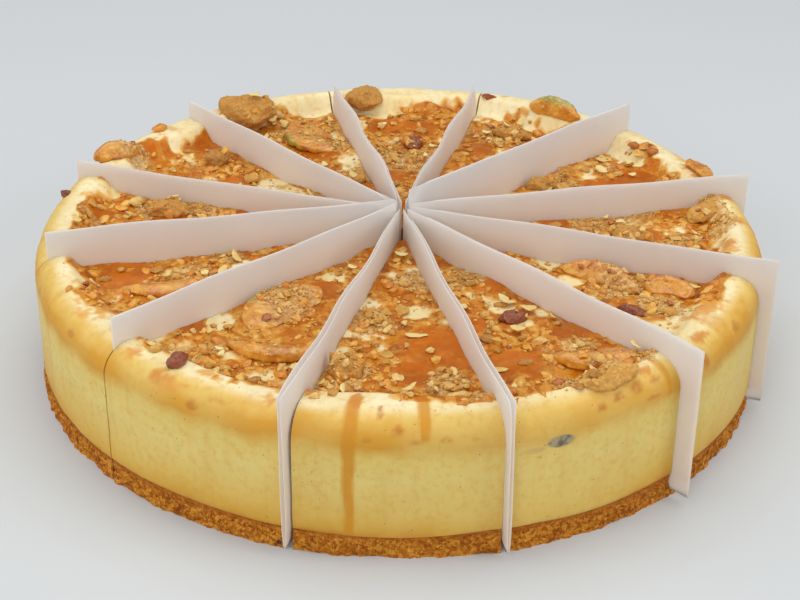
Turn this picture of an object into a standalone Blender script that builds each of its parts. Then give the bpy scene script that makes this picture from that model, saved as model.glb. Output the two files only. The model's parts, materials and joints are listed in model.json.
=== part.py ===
"""A caramel apple streusel cheesecake, cut right across six times into twelve slices.

A folded paper divider stands in each cut. Every slice has its own crumb crust and its own filling, with
the fine streusel and oats that stick to it. Streusel lumps, apple slices and nuts lie on the slices.
Metres, +Z up. The origin is under the middle of the cake, level with its base.
"""

import math
import random

import bmesh
import bpy
from mathutils import Euler, Matrix, Vector, noise
from mathutils.bvhtree import BVHTree

MM = 0.001

# The cake: a round baked in a ring, with a raised rim and a lower bed that holds the topping.
CAKE_RADIUS = 119.5 * MM
CRUST_HEIGHT = 7.4 * MM
RIM_HEIGHT = 46.6 * MM
RIM_TILT = 1.1 * MM
BED_HEIGHT = 41.6 * MM
SHOULDER_REACH = 9.5 * MM
SHOULDER_DROP = 8.0 * MM
WALL_HEIGHTS = (18.5 * MM, 29 * MM)
BED_RADIUS = 101 * MM
RIM_SLOPE = 6.5 * MM
FIT_GAP = 0.3 * MM

# Natural unevenness: how far each form wanders, and over what distance.
WALL_WANDER = 0.7 * MM
RIM_WANDER = 1.0 * MM
BED_WANDER = 1.5 * MM
BED_EDGE_WANDER = 4.5 * MM
INTERFACE_WANDER = 0.9 * MM
CRUST_BULGE = 1.0 * MM
CRUST_BULGE_SHARES = (0.32, 0.68)
CRUST_LIP = 0.6 * MM
CRUST_FOOT = 0.3 * MM
WANDER_LENGTH = 34 * MM
BED_WANDER_LENGTH = 17 * MM
CRUMB_LENGTH = 4.5 * MM

# The cuts: six bearings in degrees, each right across the cake, meeting just in front of its middle.
CUT_BEARINGS = (13.3, 43.4, 74.8, 104.9, 133.8, 163.0)
SLICES = 2 * len(CUT_BEARINGS)
CUT_CENTRE = Vector((0.6 * MM, -1.8 * MM))
SLOT_WIDTH = 1.1 * MM
TIP_REACH = 4.6 * MM

# Mesh fineness of a slice.
FILLING_COLUMNS = 6
CRUST_COLUMNS = 8
SHOULDER_STEPS = 3
BED_STATIONS = 5
RIM_SHARES = (0.65, 0.3)

# Paper dividers: each a sheet folded along its bottom edge, so two plies that may part towards the wall.
# For each cut in turn, in millimetres: how far the paper reaches, how high it stands, how far its two plies
# have parted at the wall, how far its top leans near the middle and near the rim, and how deeply it
# waves.
PAPERS = (
    (121.5, 53.9, 0.5, 0.2, -0.3, 0.3),
    (114.0, 58.1, 0.5, 0.0, 0.2, 0.3),
    (106.0, 53.6, 0.5, 0.2, 0.9, 0.8),
    (105.0, 53.6, 0.5, -1.6, -1.1, 0.8),
    (115.0, 54.0, 0.5, 0.2, 0.3, 0.5),
    (118.0, 51.8, 0.5, 0.0, 0.2, 0.3),
    (115.5, 55.5, 0.5, 0.0, 0.1, 0.3),
    (114.8, 55.1, 0.5, 0.2, -0.1, 0.5),
    (122.0, 53.4, 2.2, 0.1, -0.3, 0.7),
    (122.4, 53.4, 1.5, 0.6, -1.5, 0.5),
    (124.3, 53.3, 0.5, 0.0, 0.1, 0.4),
    (122.5, 53.6, 0.5, 0.2, 0.0, 0.4),
)
PAPER_THICKNESS = 0.5 * MM
PAPER_FOOT = 0.4 * MM
PAPER_INNER_REACH = 2.7 * MM
PAPER_FREE_HEIGHT = 47.0 * MM
PAPER_TOP_WANDER = 0.8 * MM
PAPER_WAVES = 2.6
PAPER_WAVE_STEP = 1.9
PAPER_HELD_SHARE = 0.22
PAPER_STATIONS = 11

# Fine streusel and oats fused to each slice, kept clear of the cuts and of the larger toppings.
CRUMBS_PER_SLICE = 14
CRUMB_TRIES = 900
CRUMB_ROOM = 1.6
CRUMB_SIZES = (1.7 * MM, 3.4 * MM)
CHIP_SHARES = (1.0, 0.9, 0.75)
FLAKE_SHARES = (1.2, 0.85, 0.42)
FLAKE_SHARE = 0.4
CRUMB_RADII = (1.1, 0.62)
CRUMB_TILT = 0.35
CRUMB_VARIATION = (0.85, 1.15)
SEED = 20

# How far a topping keeps from the middle of a cut, so that it clears the paper where that leans.
CUT_CLEARANCE = 2.3 * MM

# Larger toppings: where each lies in millimetres, then its length, width, height and turn in degrees.
STREUSEL_LUMPS = {
    "streusel_lump_large": (-58, 87.5, 23, 17, 14, -25),
    "streusel_lump_rear": (-15, 103, 15.5, 13, 9.5, 10),
    "streusel_lump_front": (-15, -88, 10.5, 9, 7.0, 15),
    "streusel_lump_dark": (-66.5, 53, 9.5, 9, 7.5, 30),
    "streusel_lump_nutty": (49, 37, 12, 7, 6.5, 10),
    "streusel_lump_rim_right": (103.5, 15, 17, 8, 6.0, 25),
    "streusel_lump_right": (77, -0.5, 16, 9, 7.0, -15),
    "streusel_lump_rim_front": (61, -95, 20, 9, 5.5, 30),
    "streusel_lump_back": (41, 80, 15, 8, 6.5, -25),
    "streusel_lump_left": (-79, 14, 15, 9, 7.0, -10),
}
# An apple slice has a tilt as well: how far its peel side is raised, in degrees.
APPLE_SLICES = {
    "apple_slice_standing": (57.5, 90, 23, 8, 4.5, -32, 62),
    "apple_slice_rear_left": (-101.5, 47, 17, 8, 6.0, 26, 25),
    "apple_slice_front_left": (-37, -50.5, 33, 17, 5.0, 50, 4),
    "apple_slice_front_low": (-37.5, -78, 29, 10, 5.5, 171, 10),
    "apple_slice_left": (-72.5, -40, 32, 11, 5.0, 197, 6),
    "apple_slice_right": (64.5, -29.5, 31, 9, 6.0, -35, 30),
    "apple_slice_right_outer": (84.5, -37.5, 18, 7, 5.5, -18, 25),
    "apple_slice_front_right": (60.5, -79.5, 31, 13, 5.5, 188, 8),
    "apple_slice_back": (-34, 75, 28, 18, 4.5, 118, 4),
    "apple_slice_rim_right": (105.5, 41, 17, 6.5, 4.6, -66, -20),
}
NUTS = {
    "nut_front_right": (34.5, -56, 9.5, 6.5, 5.0, 20),
    "nut_rim_left": (-63, -90.5, 7.5, 5.5, 5.0, 60),
    "nut_right": (71.7, -50, 10, 5, 4.0, -35),
    "nut_back": (4.3, 71.5, 10, 8, 5.0, 70),
}
# Chips that stand out at one place: where, and half their length, in millimetres.
MARKED_CHIPS = (
    (-113.3, 19.7, 2.0),
    (32.4, 103.0, 2.6),
    (-88.5, 69.0, 3.2),
    (87.5, 64.5, 3.6),
    (-43.3, -16.6, 3.4),
    (-77.0, -28.0, 3.8),
    (10.2, -23.0, 3.2),
    (0.6, -15.5, 3.2),
    (-14.8, 39.0, 4.0),
    (43.0, -97.0, 3.4),
    (-93.0, -34.5, 3.2),
    (51.5, 5.0, 3.6),
)
STREUSEL_ROUGHNESS = 0.5
NUT_ROUGHNESS = 0.3
# Across an apple slice, each corner's place from the core to the peel and up, and how its ends taper.
APPLE_SECTION = ((0.0, 0.1), (0.0, -0.1), (0.75, -0.5), (1.0, -0.25), (1.0, 0.25), (0.75, 0.5))
APPLE_STEPS = 8
APPLE_TAPER = 0.6
# The share of a topping's height that is trimmed off where it beds in, and of a crumb's half height that
# its middle stands over the bed.
SINK = 0.3
CRUMB_RISE = 0.35
ROOM_SIZE = 400 * MM

COLOURS = {
    "filling": (0.80, 0.62, 0.28, 1, 0.45),
    "crust": (0.50, 0.22, 0.04, 1, 0.85),
    "paper": (0.78, 0.72, 0.68, 1, 0.55),
    "streusel": (0.45, 0.26, 0.10, 1, 0.80),
    "apple": (0.62, 0.22, 0.02, 1, 0.25),
    "nut": (0.26, 0.05, 0.01, 1, 0.35),
}


def clear_scene():
    for old in list(bpy.data.objects):
        bpy.data.objects.remove(old)


def material(name):
    """The Principled material of one kind of food or paper."""
    made = bpy.data.materials.get(name)
    if made is None:
        made = bpy.data.materials.new(name)
        made.use_nodes = True
        shader = made.node_tree.nodes["Principled BSDF"]
        red, green, blue, alpha, roughness = COLOURS[name]
        shader.inputs["Base Color"].default_value = (red, green, blue, alpha)
        shader.inputs["Roughness"].default_value = roughness
        shader.inputs["Metallic"].default_value = 0.0
    return made


def make_object(name, mesh, kind, collection=None):
    mesh.materials.append(material(kind))
    made = bpy.data.objects.new(name, mesh)
    (collection or bpy.context.scene.collection).objects.link(made)
    return made


def finish_mesh(name, bm):
    """The bmesh as a mesh whose faces point outwards."""
    bmesh.ops.recalc_face_normals(bm, faces=bm.faces)
    mesh = bpy.data.meshes.new(name)
    bm.to_mesh(mesh)
    bm.free()
    return mesh


def wander(x, y, length, layer):
    """Smooth unevenness from -1 to 1 that changes over the given length."""
    return noise.noise(Vector((x / length, y / length, layer * 7.3)))


def direction(bearing):
    return Vector((math.cos(bearing), math.sin(bearing)))


def around(bearing, layer):
    """Unevenness that goes round the cake and closes on itself."""
    spot = direction(bearing) * CAKE_RADIUS
    return wander(spot.x, spot.y, WANDER_LENGTH, layer)


def cut_bearing(k):
    half_turns, cut = divmod(k, len(CUT_BEARINGS))
    return math.radians(CUT_BEARINGS[cut] + 180 * half_turns)


def wall_radius(bearing):
    return CAKE_RADIUS + WALL_WANDER * around(bearing, 1)


def rim_height(bearing):
    """The rim stands a little higher at the back."""
    return RIM_HEIGHT + RIM_TILT * math.sin(bearing) + RIM_WANDER * around(bearing, 2)


def bed_radius(bearing):
    return BED_RADIUS + BED_EDGE_WANDER * around(bearing, 3)


def interface_height(bearing):
    """Where the crust ends and the filling begins, at the wall."""
    return CRUST_HEIGHT + INTERFACE_WANDER * around(bearing, 4)


def surface_height(x, y):
    """Height of the cake's top at a point inside the shoulder."""
    bearing, reach = math.atan2(y, x), math.hypot(x, y)
    bed = BED_HEIGHT + BED_WANDER * wander(x, y, BED_WANDER_LENGTH, 5)
    climb = (reach - bed_radius(bearing)) / RIM_SLOPE
    climb = min(max(climb, 0.0), 1.0)
    return bed + (rim_height(bearing) - bed) * climb * climb * (3 - 2 * climb)


def slice_reach(k, across, radius):
    """How far along the line across slice k its distance from the cake's axis comes to the radius."""
    start, heading = slice_line(k, across)
    along = start.dot(heading)
    return -along + math.sqrt(along * along - start.length_squared + radius * radius)


def slot_spread(k):
    """The angle by which cut k opens towards the wall, on each side, to hold the parted plies."""
    parted = PAPERS[k % SLICES][2] * MM - PAPER_THICKNESS
    return parted / 2 / CAKE_RADIUS


def slice_line(k, across):
    """Where a line through slice k starts and its direction: across is 0 at one cut and 1 at the next."""
    first, last = cut_bearing(k), cut_bearing(k + 1)
    inward = direction(first + math.pi / 2).lerp(direction(last - math.pi / 2), across)
    first, last = first + slot_spread(k), last - slot_spread(k + 1)
    heading = direction(first + (last - first) * across)
    return CUT_CENTRE + inward * (SLOT_WIDTH / 2), heading


def slice_spot(k, across, reach):
    start, heading = slice_line(k, across)
    return start + heading * reach


def wall_spot(k, across, inset):
    """The point of slice k on the wall, or inset from it, and its bearing from the cake's axis."""
    spot = slice_spot(k, across, slice_reach(k, across, CAKE_RADIUS))
    bearing = math.atan2(spot.y, spot.x)
    return slice_spot(k, across, slice_reach(k, across, wall_radius(bearing) - inset)), bearing


def filling_rows():
    """The rows that go round a slice's filling, each a function of the slice and the place across it."""

    def at_wall(height_of, inset=0.0):
        def place(k, across):
            spot, bearing = wall_spot(k, across, inset)
            return (*spot, height_of(bearing))

        return place

    def on_top(inner_radius, outer_radius, share):
        def place(k, across):
            inner = slice_reach(k, across, inner_radius) if inner_radius else TIP_REACH
            outer = slice_reach(k, across, outer_radius)
            spot = slice_spot(k, across, inner + (outer - inner) * share)
            return (*spot, surface_height(*spot))

        return place

    def tip_bottom(k, across):
        return (*slice_spot(k, across, TIP_REACH), CRUST_HEIGHT + FIT_GAP)

    rows = [tip_bottom, at_wall(lambda b: interface_height(b) + FIT_GAP, CRUST_LIP)]
    for height in WALL_HEIGHTS:
        rows.append(at_wall(lambda b, h=height: h))
    for step in range(SHOULDER_STEPS + 1):
        turn = math.pi / 2 * step / SHOULDER_STEPS
        drop, inset = SHOULDER_DROP * (1 - math.sin(turn)), SHOULDER_REACH * (1 - math.cos(turn))
        rows.append(at_wall(lambda b, d=drop: rim_height(b) - d, inset))
    bed_edge = BED_RADIUS - RIM_SLOPE
    rows += [on_top(bed_edge, CAKE_RADIUS - SHOULDER_REACH, share) for share in RIM_SHARES]
    rows += [on_top(0, bed_edge, 1 - step / BED_STATIONS) for step in range(BED_STATIONS + 1)]
    return rows


def crust_rows():
    """The rows that go round a slice's crust: its tip, its top, its crumbly wall and its flat base."""

    def crumbly(height_of, layer, inset=0.0):
        def place(k, across):
            spot, bearing = wall_spot(k, across, 0)
            bulge = CRUST_BULGE * wander(spot.x, spot.y, CRUMB_LENGTH, layer)
            return (*wall_spot(k, across, inset - bulge)[0], height_of(bearing))

        return place

    def at_tip(height):
        return lambda k, across: (*slice_spot(k, across, TIP_REACH), height)

    def top_edge(k, across):
        spot, bearing = wall_spot(k, across, CRUST_LIP)
        return (*spot, interface_height(bearing))

    low, high = CRUST_BULGE_SHARES
    return [
        at_tip(0.0),
        at_tip(CRUST_HEIGHT),
        top_edge,
        crumbly(lambda b: interface_height(b) * high, 11),
        crumbly(lambda b: CRUST_HEIGHT * low, 12, -CRUST_FOOT),
        crumbly(lambda b: 0.0, 13),
    ]


def wedge_mesh(name, k, rows, columns):
    """A closed wedge: rows of points go round its outline, and columns go from one cut to the next."""
    bm = bmesh.new()
    grid = [[bm.verts.new(row(k, c / columns)) for c in range(columns + 1)] for row in rows]
    for a, b in zip(grid, grid[1:] + grid[:1]):
        for c in range(columns):
            bm.faces.new((a[c], a[c + 1], b[c]))
            bm.faces.new((a[c + 1], b[c + 1], b[c]))
    bm.faces.new([row[0] for row in grid])
    bm.faces.new([row[-1] for row in grid])
    return finish_mesh(name, bm)


def make_filling(k):
    mesh = wedge_mesh("filling", k, filling_rows(), FILLING_COLUMNS)
    return make_object(f"filling_{k + 1:02d}", mesh, "filling")


def make_crust(k):
    mesh = wedge_mesh("crust", k, crust_rows(), CRUST_COLUMNS)
    make_object(f"crust_{k + 1:02d}", mesh, "crust")


def make_divider(k):
    """The folded paper in cut k: straight where the cake holds it, free to lean and wave above."""
    reach_to, height, parted, lean_in, lean_out, wave = (value * MM for value in PAPERS[k])
    heading = direction(cut_bearing(k))
    side = Vector((-heading.y, heading.x))
    bm = bmesh.new()
    rings = []
    for station in range(PAPER_STATIONS + 1):
        share = station / PAPER_STATIONS
        reach = PAPER_INNER_REACH + (reach_to - PAPER_INNER_REACH) * share
        lean = lean_in + (lean_out - lean_in) * share
        lean += wave * math.sin(math.tau * PAPER_WAVES * share + PAPER_WAVE_STEP * k)
        lean *= min(1, share / PAPER_HELD_SHARE)
        top = height + PAPER_TOP_WANDER * wander(reach, k * WANDER_LENGTH, WANDER_LENGTH, 6)
        half = side * (PAPER_THICKNESS + (parted - PAPER_THICKNESS) * min(reach / CAKE_RADIUS, 1)) / 2
        left, right = [], []
        for z, shift in ((PAPER_FOOT, 0), (PAPER_FREE_HEIGHT, 0), (top, lean)):
            spot = CUT_CENTRE + heading * reach + side * shift
            left.append(bm.verts.new((*(spot - half), z)))
            right.append(bm.verts.new((*(spot + half), z)))
        rings.append(left + right[::-1])
    for a, b in zip(rings, rings[1:]):
        for n in range(len(a)):
            m = (n + 1) % len(a)
            bm.faces.new((a[n], a[m], b[m], b[n]))
    for ring in (rings[0], rings[-1]):
        bm.faces.new((ring[0], ring[1], ring[4], ring[5]))
        bm.faces.new((ring[1], ring[2], ring[3], ring[4]))
    make_object(f"divider_{k + 1:02d}", finish_mesh("divider", bm), "paper")


def rough_ball(name, size, roughness, layer):
    """A lump with the given length, width and height, its surface pushed in and out."""
    bm = bmesh.new()
    bmesh.ops.create_icosphere(bm, subdivisions=2, radius=0.5)
    for vert in bm.verts:
        vert.co *= 1 + roughness * noise.noise(vert.co * 4.0 + Vector((layer, 2.0 * layer, 0)))
        vert.co = Vector(c * s for c, s in zip(vert.co, size))
    return finish_mesh(name, bm)


def apple_mesh(name, length, width, thickness):
    """A crescent of apple along X: its thick, bowed peel side faces +Y, and it tapers to both ends."""
    bow = width / 2
    radius = (length * length / 4 + bow * bow) / (2 * bow)
    spread = math.asin(length / 2 / radius)
    bm = bmesh.new()
    rings = []
    for step in range(1, APPLE_STEPS):
        share = 2 * step / APPLE_STEPS - 1
        fullness = math.cos(math.pi / 2 * share) ** APPLE_TAPER
        ring = []
        for outward, up in APPLE_SECTION:
            reach = radius + width * (outward - 0.5) * fullness
            across, along = reach * math.cos(spread * share) - radius, reach * math.sin(spread * share)
            ring.append(bm.verts.new((along, across, up * thickness * (1 + fullness) / 2)))
        rings.append(ring)
    for a, b in zip(rings, rings[1:]):
        for n in range(len(a)):
            m = (n + 1) % len(a)
            bm.faces.new((a[n], a[m], b[m], b[n]))
    for ring, end in ((rings[0], -1), (rings[-1], 1)):
        point = bm.verts.new((end * length / 2, -bow / 2, 0))
        for n in range(len(ring)):
            bm.faces.new((ring[n], ring[(n + 1) % len(ring)], point))
    return finish_mesh(name, bm)


def settle(topping, x, y, height, turn, tilt=0.0):
    """Puts a topping on the cake at x, y, turned about the vertical and tilted about its own length."""
    rotation = Matrix.Rotation(math.radians(turn), 4, "Z") @ Matrix.Rotation(math.radians(tilt), 4, "X")
    place = Vector((x, y, surface_height(x, y) + height))
    topping.data.transform(Matrix.Translation(place) @ rotation)


def new_collection(name, *members):
    made = bpy.data.collections.new(name)
    bpy.context.scene.collection.children.link(made)
    for member in members:
        made.objects.link(member)
    return made


def combine(target, operation, collection):
    """Applies one Boolean of the target with a whole collection, then removes the collection's objects."""
    modifier = target.modifiers.new("Combine", "BOOLEAN")
    modifier.operation, modifier.operand_type, modifier.solver = operation, "COLLECTION", "EXACT"
    modifier.collection = collection
    bpy.context.view_layer.update()
    evaluated = target.evaluated_get(bpy.context.evaluated_depsgraph_get())
    mesh = bpy.data.meshes.new_from_object(evaluated)
    target.modifiers.remove(modifier)
    target.data = mesh
    for used in list(collection.objects):
        bpy.data.objects.remove(used)
    bpy.data.collections.remove(collection)


def slice_of(spot):
    """The number of the slice that holds a point."""
    turned = math.degrees(math.atan2(*reversed(spot - CUT_CENTRE))) % 360
    return max((k for k in range(SLICES) if math.degrees(cut_bearing(k)) <= turned), default=SLICES - 1)


def cut_distance(spot, k):
    """How far a point is from the middle of cut k."""
    return abs((spot - CUT_CENTRE).cross(direction(cut_bearing(k))))


def room_over(k):
    """The room over slice k in which toppings clear the papers: a tall wedge between its two cuts."""
    first, last = cut_bearing(k), cut_bearing(k + 1)
    apex = CUT_CENTRE + direction((first + last) / 2) * (CUT_CLEARANCE / math.sin((last - first) / 2))
    corners = (apex, apex + direction(first) * ROOM_SIZE, apex + direction(last) * ROOM_SIZE)
    bm = bmesh.new()
    floor = [bm.verts.new((*corner, 0)) for corner in corners]
    roof = [bm.verts.new((*corner, ROOM_SIZE)) for corner in corners]
    bm.faces.new(floor)
    bm.faces.new(roof)
    for n in range(3):
        bm.faces.new((floor[n - 1], floor[n], roof[n], roof[n - 1]))
    return bpy.data.objects.new("room", finish_mesh("room", bm))


def raised_copy(filling):
    """The filling, lifted by the gap that is left under a topping."""
    made = filling.copy()
    made.data = filling.data.copy()
    made.data.transform(Matrix.Translation((0, 0, FIT_GAP)))
    return made


def trim(topping, fillings, spot):
    """Cuts a topping off beside the cuts, and along the top of its slice, just clear of both."""
    k = slice_of(spot)
    combine(topping, "INTERSECT", new_collection("room", room_over(k)))
    combine(topping, "DIFFERENCE", new_collection("raised", raised_copy(fillings[k])))


def make_toppings(fillings):
    """The larger toppings, each its own object. Gives each one's place and half length."""
    made = []
    balls = [(STREUSEL_LUMPS, STREUSEL_ROUGHNESS, "streusel"), (NUTS, NUT_ROUGHNESS, "nut")]
    for table, roughness, kind in balls:
        for name, (x, y, length, width, height, turn) in table.items():
            mesh = rough_ball(name, (length * MM, width * MM, height * MM), roughness, len(made))
            ball = make_object(name, mesh, kind)
            settle(ball, x * MM, y * MM, (0.5 - SINK) * height * MM, turn)
            made.append((ball, x, y, length))
    for name, (x, y, length, width, thickness, turn, tilt) in APPLE_SLICES.items():
        apple = make_object(name, apple_mesh(name, length * MM, width * MM, thickness * MM), "apple")
        lift = (0.5 - SINK) * (thickness + width * math.sin(math.radians(tilt)))
        settle(apple, x * MM, y * MM, lift * MM, turn, tilt)
        made.append((apple, x, y, length))
    for topping, x, y, _ in made:
        trim(topping, fillings, Vector((x, y)) * MM)
    return [(Vector((x, y)) * MM, length / 2 * MM) for _, x, y, length in made]


def crumb_mesh(draw, size, shares):
    """A chip of streusel, or an oat flake, which is flatter. Gives the mesh and half its height."""
    length, width, height = (size * share * draw.uniform(*CRUMB_VARIATION) for share in shares)
    bm = bmesh.new()
    sides = draw.choice((5, 6))
    foot, crown = CRUMB_RADII
    bmesh.ops.create_cone(bm, cap_ends=True, segments=sides, radius1=foot, radius2=crown, depth=2)
    bmesh.ops.scale(bm, verts=bm.verts, vec=(length, width, height))
    tilts = (draw.uniform(-CRUMB_TILT, CRUMB_TILT) for _ in "xy")
    turn = Euler((*tilts, draw.uniform(0, math.tau)))
    bmesh.ops.rotate(bm, verts=bm.verts, matrix=turn.to_matrix())
    return finish_mesh("crumb", bm), height


def crumb_places(k, taken, draw):
    """Where crumbs go on slice k, and their sizes: the marked chips, then others where there is room."""
    marked = [(Vector((x, y)) * MM, size * MM) for x, y, size in MARKED_CHIPS]
    placed = [(spot, size, CHIP_SHARES) for spot, size in marked if slice_of(spot) == k]
    for _ in range(CRUMB_TRIES):
        across, share, size = draw.random(), math.sqrt(draw.random()), draw.uniform(*CRUMB_SIZES)
        spot = slice_spot(k, across, BED_RADIUS * share)
        beside = min(cut_distance(spot, k), cut_distance(spot, k + 1))
        rooms = taken + [(other, room) for other, room, _ in placed]
        crowded = any((spot - other).length < room + CRUMB_ROOM * size for other, room in rooms)
        if beside > CUT_CLEARANCE + size and not crowded and len(placed) < CRUMBS_PER_SLICE:
            placed.append((spot, size, FLAKE_SHARES if draw.random() < FLAKE_SHARE else CHIP_SHARES))
    return placed


def add_crumbs(k, filling, taken, draw):
    """Fuses streusel crumbs and oat flakes to the top of slice k."""
    crumbs = new_collection("crumbs")
    top = BVHTree.FromPolygons(
        [vert.co for vert in filling.data.vertices], [face.vertices for face in filling.data.polygons]
    )
    for spot, size, shares in crumb_places(k, taken, draw):
        mesh, half_height = crumb_mesh(draw, size, shares)
        crumb = make_object("crumb", mesh, "filling", crumbs)
        height = top.ray_cast(Vector((*spot, ROOM_SIZE)), Vector((0, 0, -1)))[0].z
        crumb.data.transform(Matrix.Translation((*spot, height + half_height * CRUMB_RISE)))
    combine(filling, "UNION", crumbs)


def main():
    clear_scene()
    draw = random.Random(SEED)
    fillings = [make_filling(k) for k in range(SLICES)]
    for k in range(SLICES):
        make_crust(k)
        make_divider(k)
    taken = make_toppings(fillings)
    for k, filling in enumerate(fillings):
        add_crumbs(k, filling, taken, draw)


main()
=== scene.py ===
# %% [markdown]
# # A caramel apple cheesecake in Blender
# A round cheesecake on a crumb crust has been cut right across six times, and a folded paper stands in each
# cut. The solid model gives every slice, paper and large topping its place. This lesson gives them the fine
# shape of real food and a material for each, then lights the cake and frames it.

# %% Load the frame
import json
import math
import random

import bmesh
import bpy
import numpy as np
from mathutils import Euler, Matrix, Vector, noise
from mathutils.bvhtree import BVHTree

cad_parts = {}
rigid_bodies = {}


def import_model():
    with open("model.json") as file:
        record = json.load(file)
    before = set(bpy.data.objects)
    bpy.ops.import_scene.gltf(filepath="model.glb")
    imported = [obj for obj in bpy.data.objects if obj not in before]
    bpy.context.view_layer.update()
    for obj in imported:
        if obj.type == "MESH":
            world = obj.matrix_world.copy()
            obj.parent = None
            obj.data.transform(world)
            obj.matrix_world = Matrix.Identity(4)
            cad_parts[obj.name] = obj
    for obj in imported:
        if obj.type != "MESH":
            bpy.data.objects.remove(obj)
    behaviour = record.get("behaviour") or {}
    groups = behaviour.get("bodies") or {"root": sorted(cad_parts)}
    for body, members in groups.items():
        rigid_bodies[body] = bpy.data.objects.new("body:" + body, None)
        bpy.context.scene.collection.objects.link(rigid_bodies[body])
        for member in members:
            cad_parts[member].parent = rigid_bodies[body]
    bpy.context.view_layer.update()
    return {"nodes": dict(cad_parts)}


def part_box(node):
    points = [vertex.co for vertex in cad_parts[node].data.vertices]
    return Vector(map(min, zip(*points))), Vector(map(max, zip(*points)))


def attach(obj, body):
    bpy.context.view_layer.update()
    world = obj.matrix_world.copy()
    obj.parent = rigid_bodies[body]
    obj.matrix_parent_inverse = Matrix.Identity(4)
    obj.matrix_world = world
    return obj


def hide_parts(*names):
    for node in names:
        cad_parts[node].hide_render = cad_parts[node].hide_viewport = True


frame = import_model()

MM = 0.001
WELD = 0.002 * MM  # the solid models' triangles are joined where their corners are that close


def add_object(name, data):
    """A new object in the scene that holds the data."""
    made = bpy.data.objects.new(name, data)
    bpy.context.scene.collection.objects.link(made)
    return made


# %% [markdown]
# ## Camera
# The cake is seen from the front, about thirty degrees above the table, with a long lens. A long lens keeps
# the near and the far wall nearly the same size. The camera comes first, so that every later step can be
# checked in the same frame.

# %% Place the camera
CAMERA_PLACE = Vector((0.24, -509.27, 305.33)) * MM
CAMERA_TARGET = Vector((0.24, 29.32, 0)) * MM
CAMERA_ROLL = math.radians(0.853)
camera_data = bpy.data.cameras.new("camera")
camera_data.lens = 77.54
camera_data.sensor_width = 36.0
camera_data.clip_start, camera_data.clip_end = 0.01, 20
camera = add_object("camera", camera_data)
gaze = (CAMERA_TARGET - CAMERA_PLACE).to_track_quat("-Z", "Y").to_matrix().to_4x4()
camera.matrix_world = Matrix.Translation(CAMERA_PLACE) @ gaze @ Matrix.Rotation(CAMERA_ROLL, 4, "Z")
bpy.context.scene.camera = camera
rise = CAMERA_PLACE - CAMERA_TARGET
print("camera elevation in degrees:", round(math.degrees(math.atan2(rise.z, rise.xy.length)), 1))

# %% [markdown]
# ## The form of the cake
# The fine mesh has to lie where the solid model lies, so the same few sizes and the same smooth wander
# describe both. Each function gives one edge of the cake: the wall, the rim, the bed that holds the topping,
# and the line where the crust ends.

# %% Sizes and smooth unevenness
CAKE_RADIUS = 119.5 * MM
CRUST_HEIGHT = 7.4 * MM
RIM_HEIGHT = 46.6 * MM
RIM_TILT = 1.1 * MM  # the back of the rim is that much higher than its mean, and the front lower
BED_HEIGHT = 41.6 * MM
BED_RADIUS = 101 * MM
RIM_SLOPE = 6.5 * MM  # how far the slope from the bed to the rim reaches
SHOULDER_REACH = 9.5 * MM
FIT_GAP = 0.05 * MM  # between the crust and the filling
CUT_BEARINGS = (13.3, 43.4, 74.8, 104.9, 133.8, 163.0)  # in degrees, each cut running right across
CUT_CENTRE = Vector((0.6 * MM, -1.8 * MM))
SLOT_WIDTH = 0.62 * MM
TIP_REACH = 4.6 * MM  # the tips of the slices end that far from the centre of the cuts
PAPER_THICKNESS = 0.5 * MM
PARTED_PLIES = {8: 2.2 * MM, 9: 1.5 * MM}  # how far apart the plies of two of the papers are at the wall
SLICES = 2 * len(CUT_BEARINGS)


def wander(x, y, length, layer):
    """Smooth unevenness from -1 to 1 that changes over the given length, at every point of x and y."""
    return np.array([noise.noise((a, b, layer * 7.3)) for a, b in zip(x / length, y / length)])


def grain(spots, length, layer):
    """The same in three dimensions, at every row of spots."""
    return np.array([noise.noise(spot) for spot in (spots / length + (0, 0, layer * 7.3)).tolist()])


def smooth(low, high, value):
    """Rises smoothly from 0 at low to 1 at high."""
    share = np.clip((value - low) / (high - low), 0.0, 1.0)
    return share * share * (3 - 2 * share)


def direction(bearing):
    return Vector((math.cos(bearing), math.sin(bearing)))


def around(bearing, layer):
    """Unevenness that goes round the cake and closes on itself."""
    return wander(CAKE_RADIUS * np.cos(bearing), CAKE_RADIUS * np.sin(bearing), 34 * MM, layer)


def wall_radius(bearing):
    """The cake's radius at each bearing. The functions below give its rim, its bed and its crust so too."""
    return CAKE_RADIUS + 0.7 * MM * around(bearing, 1)


def rim_height(bearing):
    return RIM_HEIGHT + RIM_TILT * np.sin(bearing) + 1.0 * MM * around(bearing, 2)


def bed_radius(bearing):
    return BED_RADIUS + 4.5 * MM * around(bearing, 3)


def interface_height(bearing):
    return CRUST_HEIGHT + 0.9 * MM * around(bearing, 4)


def surface_height(x, y):
    """Height of the cake's top at points inside the shoulder."""
    bearing, reach = np.arctan2(y, x), np.hypot(x, y)
    bed = BED_HEIGHT + 1.5 * MM * wander(x, y, 17 * MM, 5)
    return bed + (rim_height(bearing) - bed) * smooth(0, RIM_SLOPE, reach - bed_radius(bearing))


print("rim in mm:", (rim_height(np.radians(np.arange(0, 360, 60))) / MM).round(1))


# %% [markdown]
# ## The cuts
# Every slice is bounded by two upright planes that start near the middle of the cake. The same planes cut
# the fine mesh, and they keep crumbs out of the slots.

# %% Where the cuts run


def cut_bearing(k):
    half_turns, cut = divmod(k, len(CUT_BEARINGS))
    return math.radians(CUT_BEARINGS[cut] + 180 * half_turns)


def slot_spread(k):
    """The angle by which cut k opens towards the wall, on each side, to hold its parted plies."""
    parted = PARTED_PLIES.get(k % SLICES, PAPER_THICKNESS) - PAPER_THICKNESS
    return parted / 2 / CAKE_RADIUS


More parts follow.
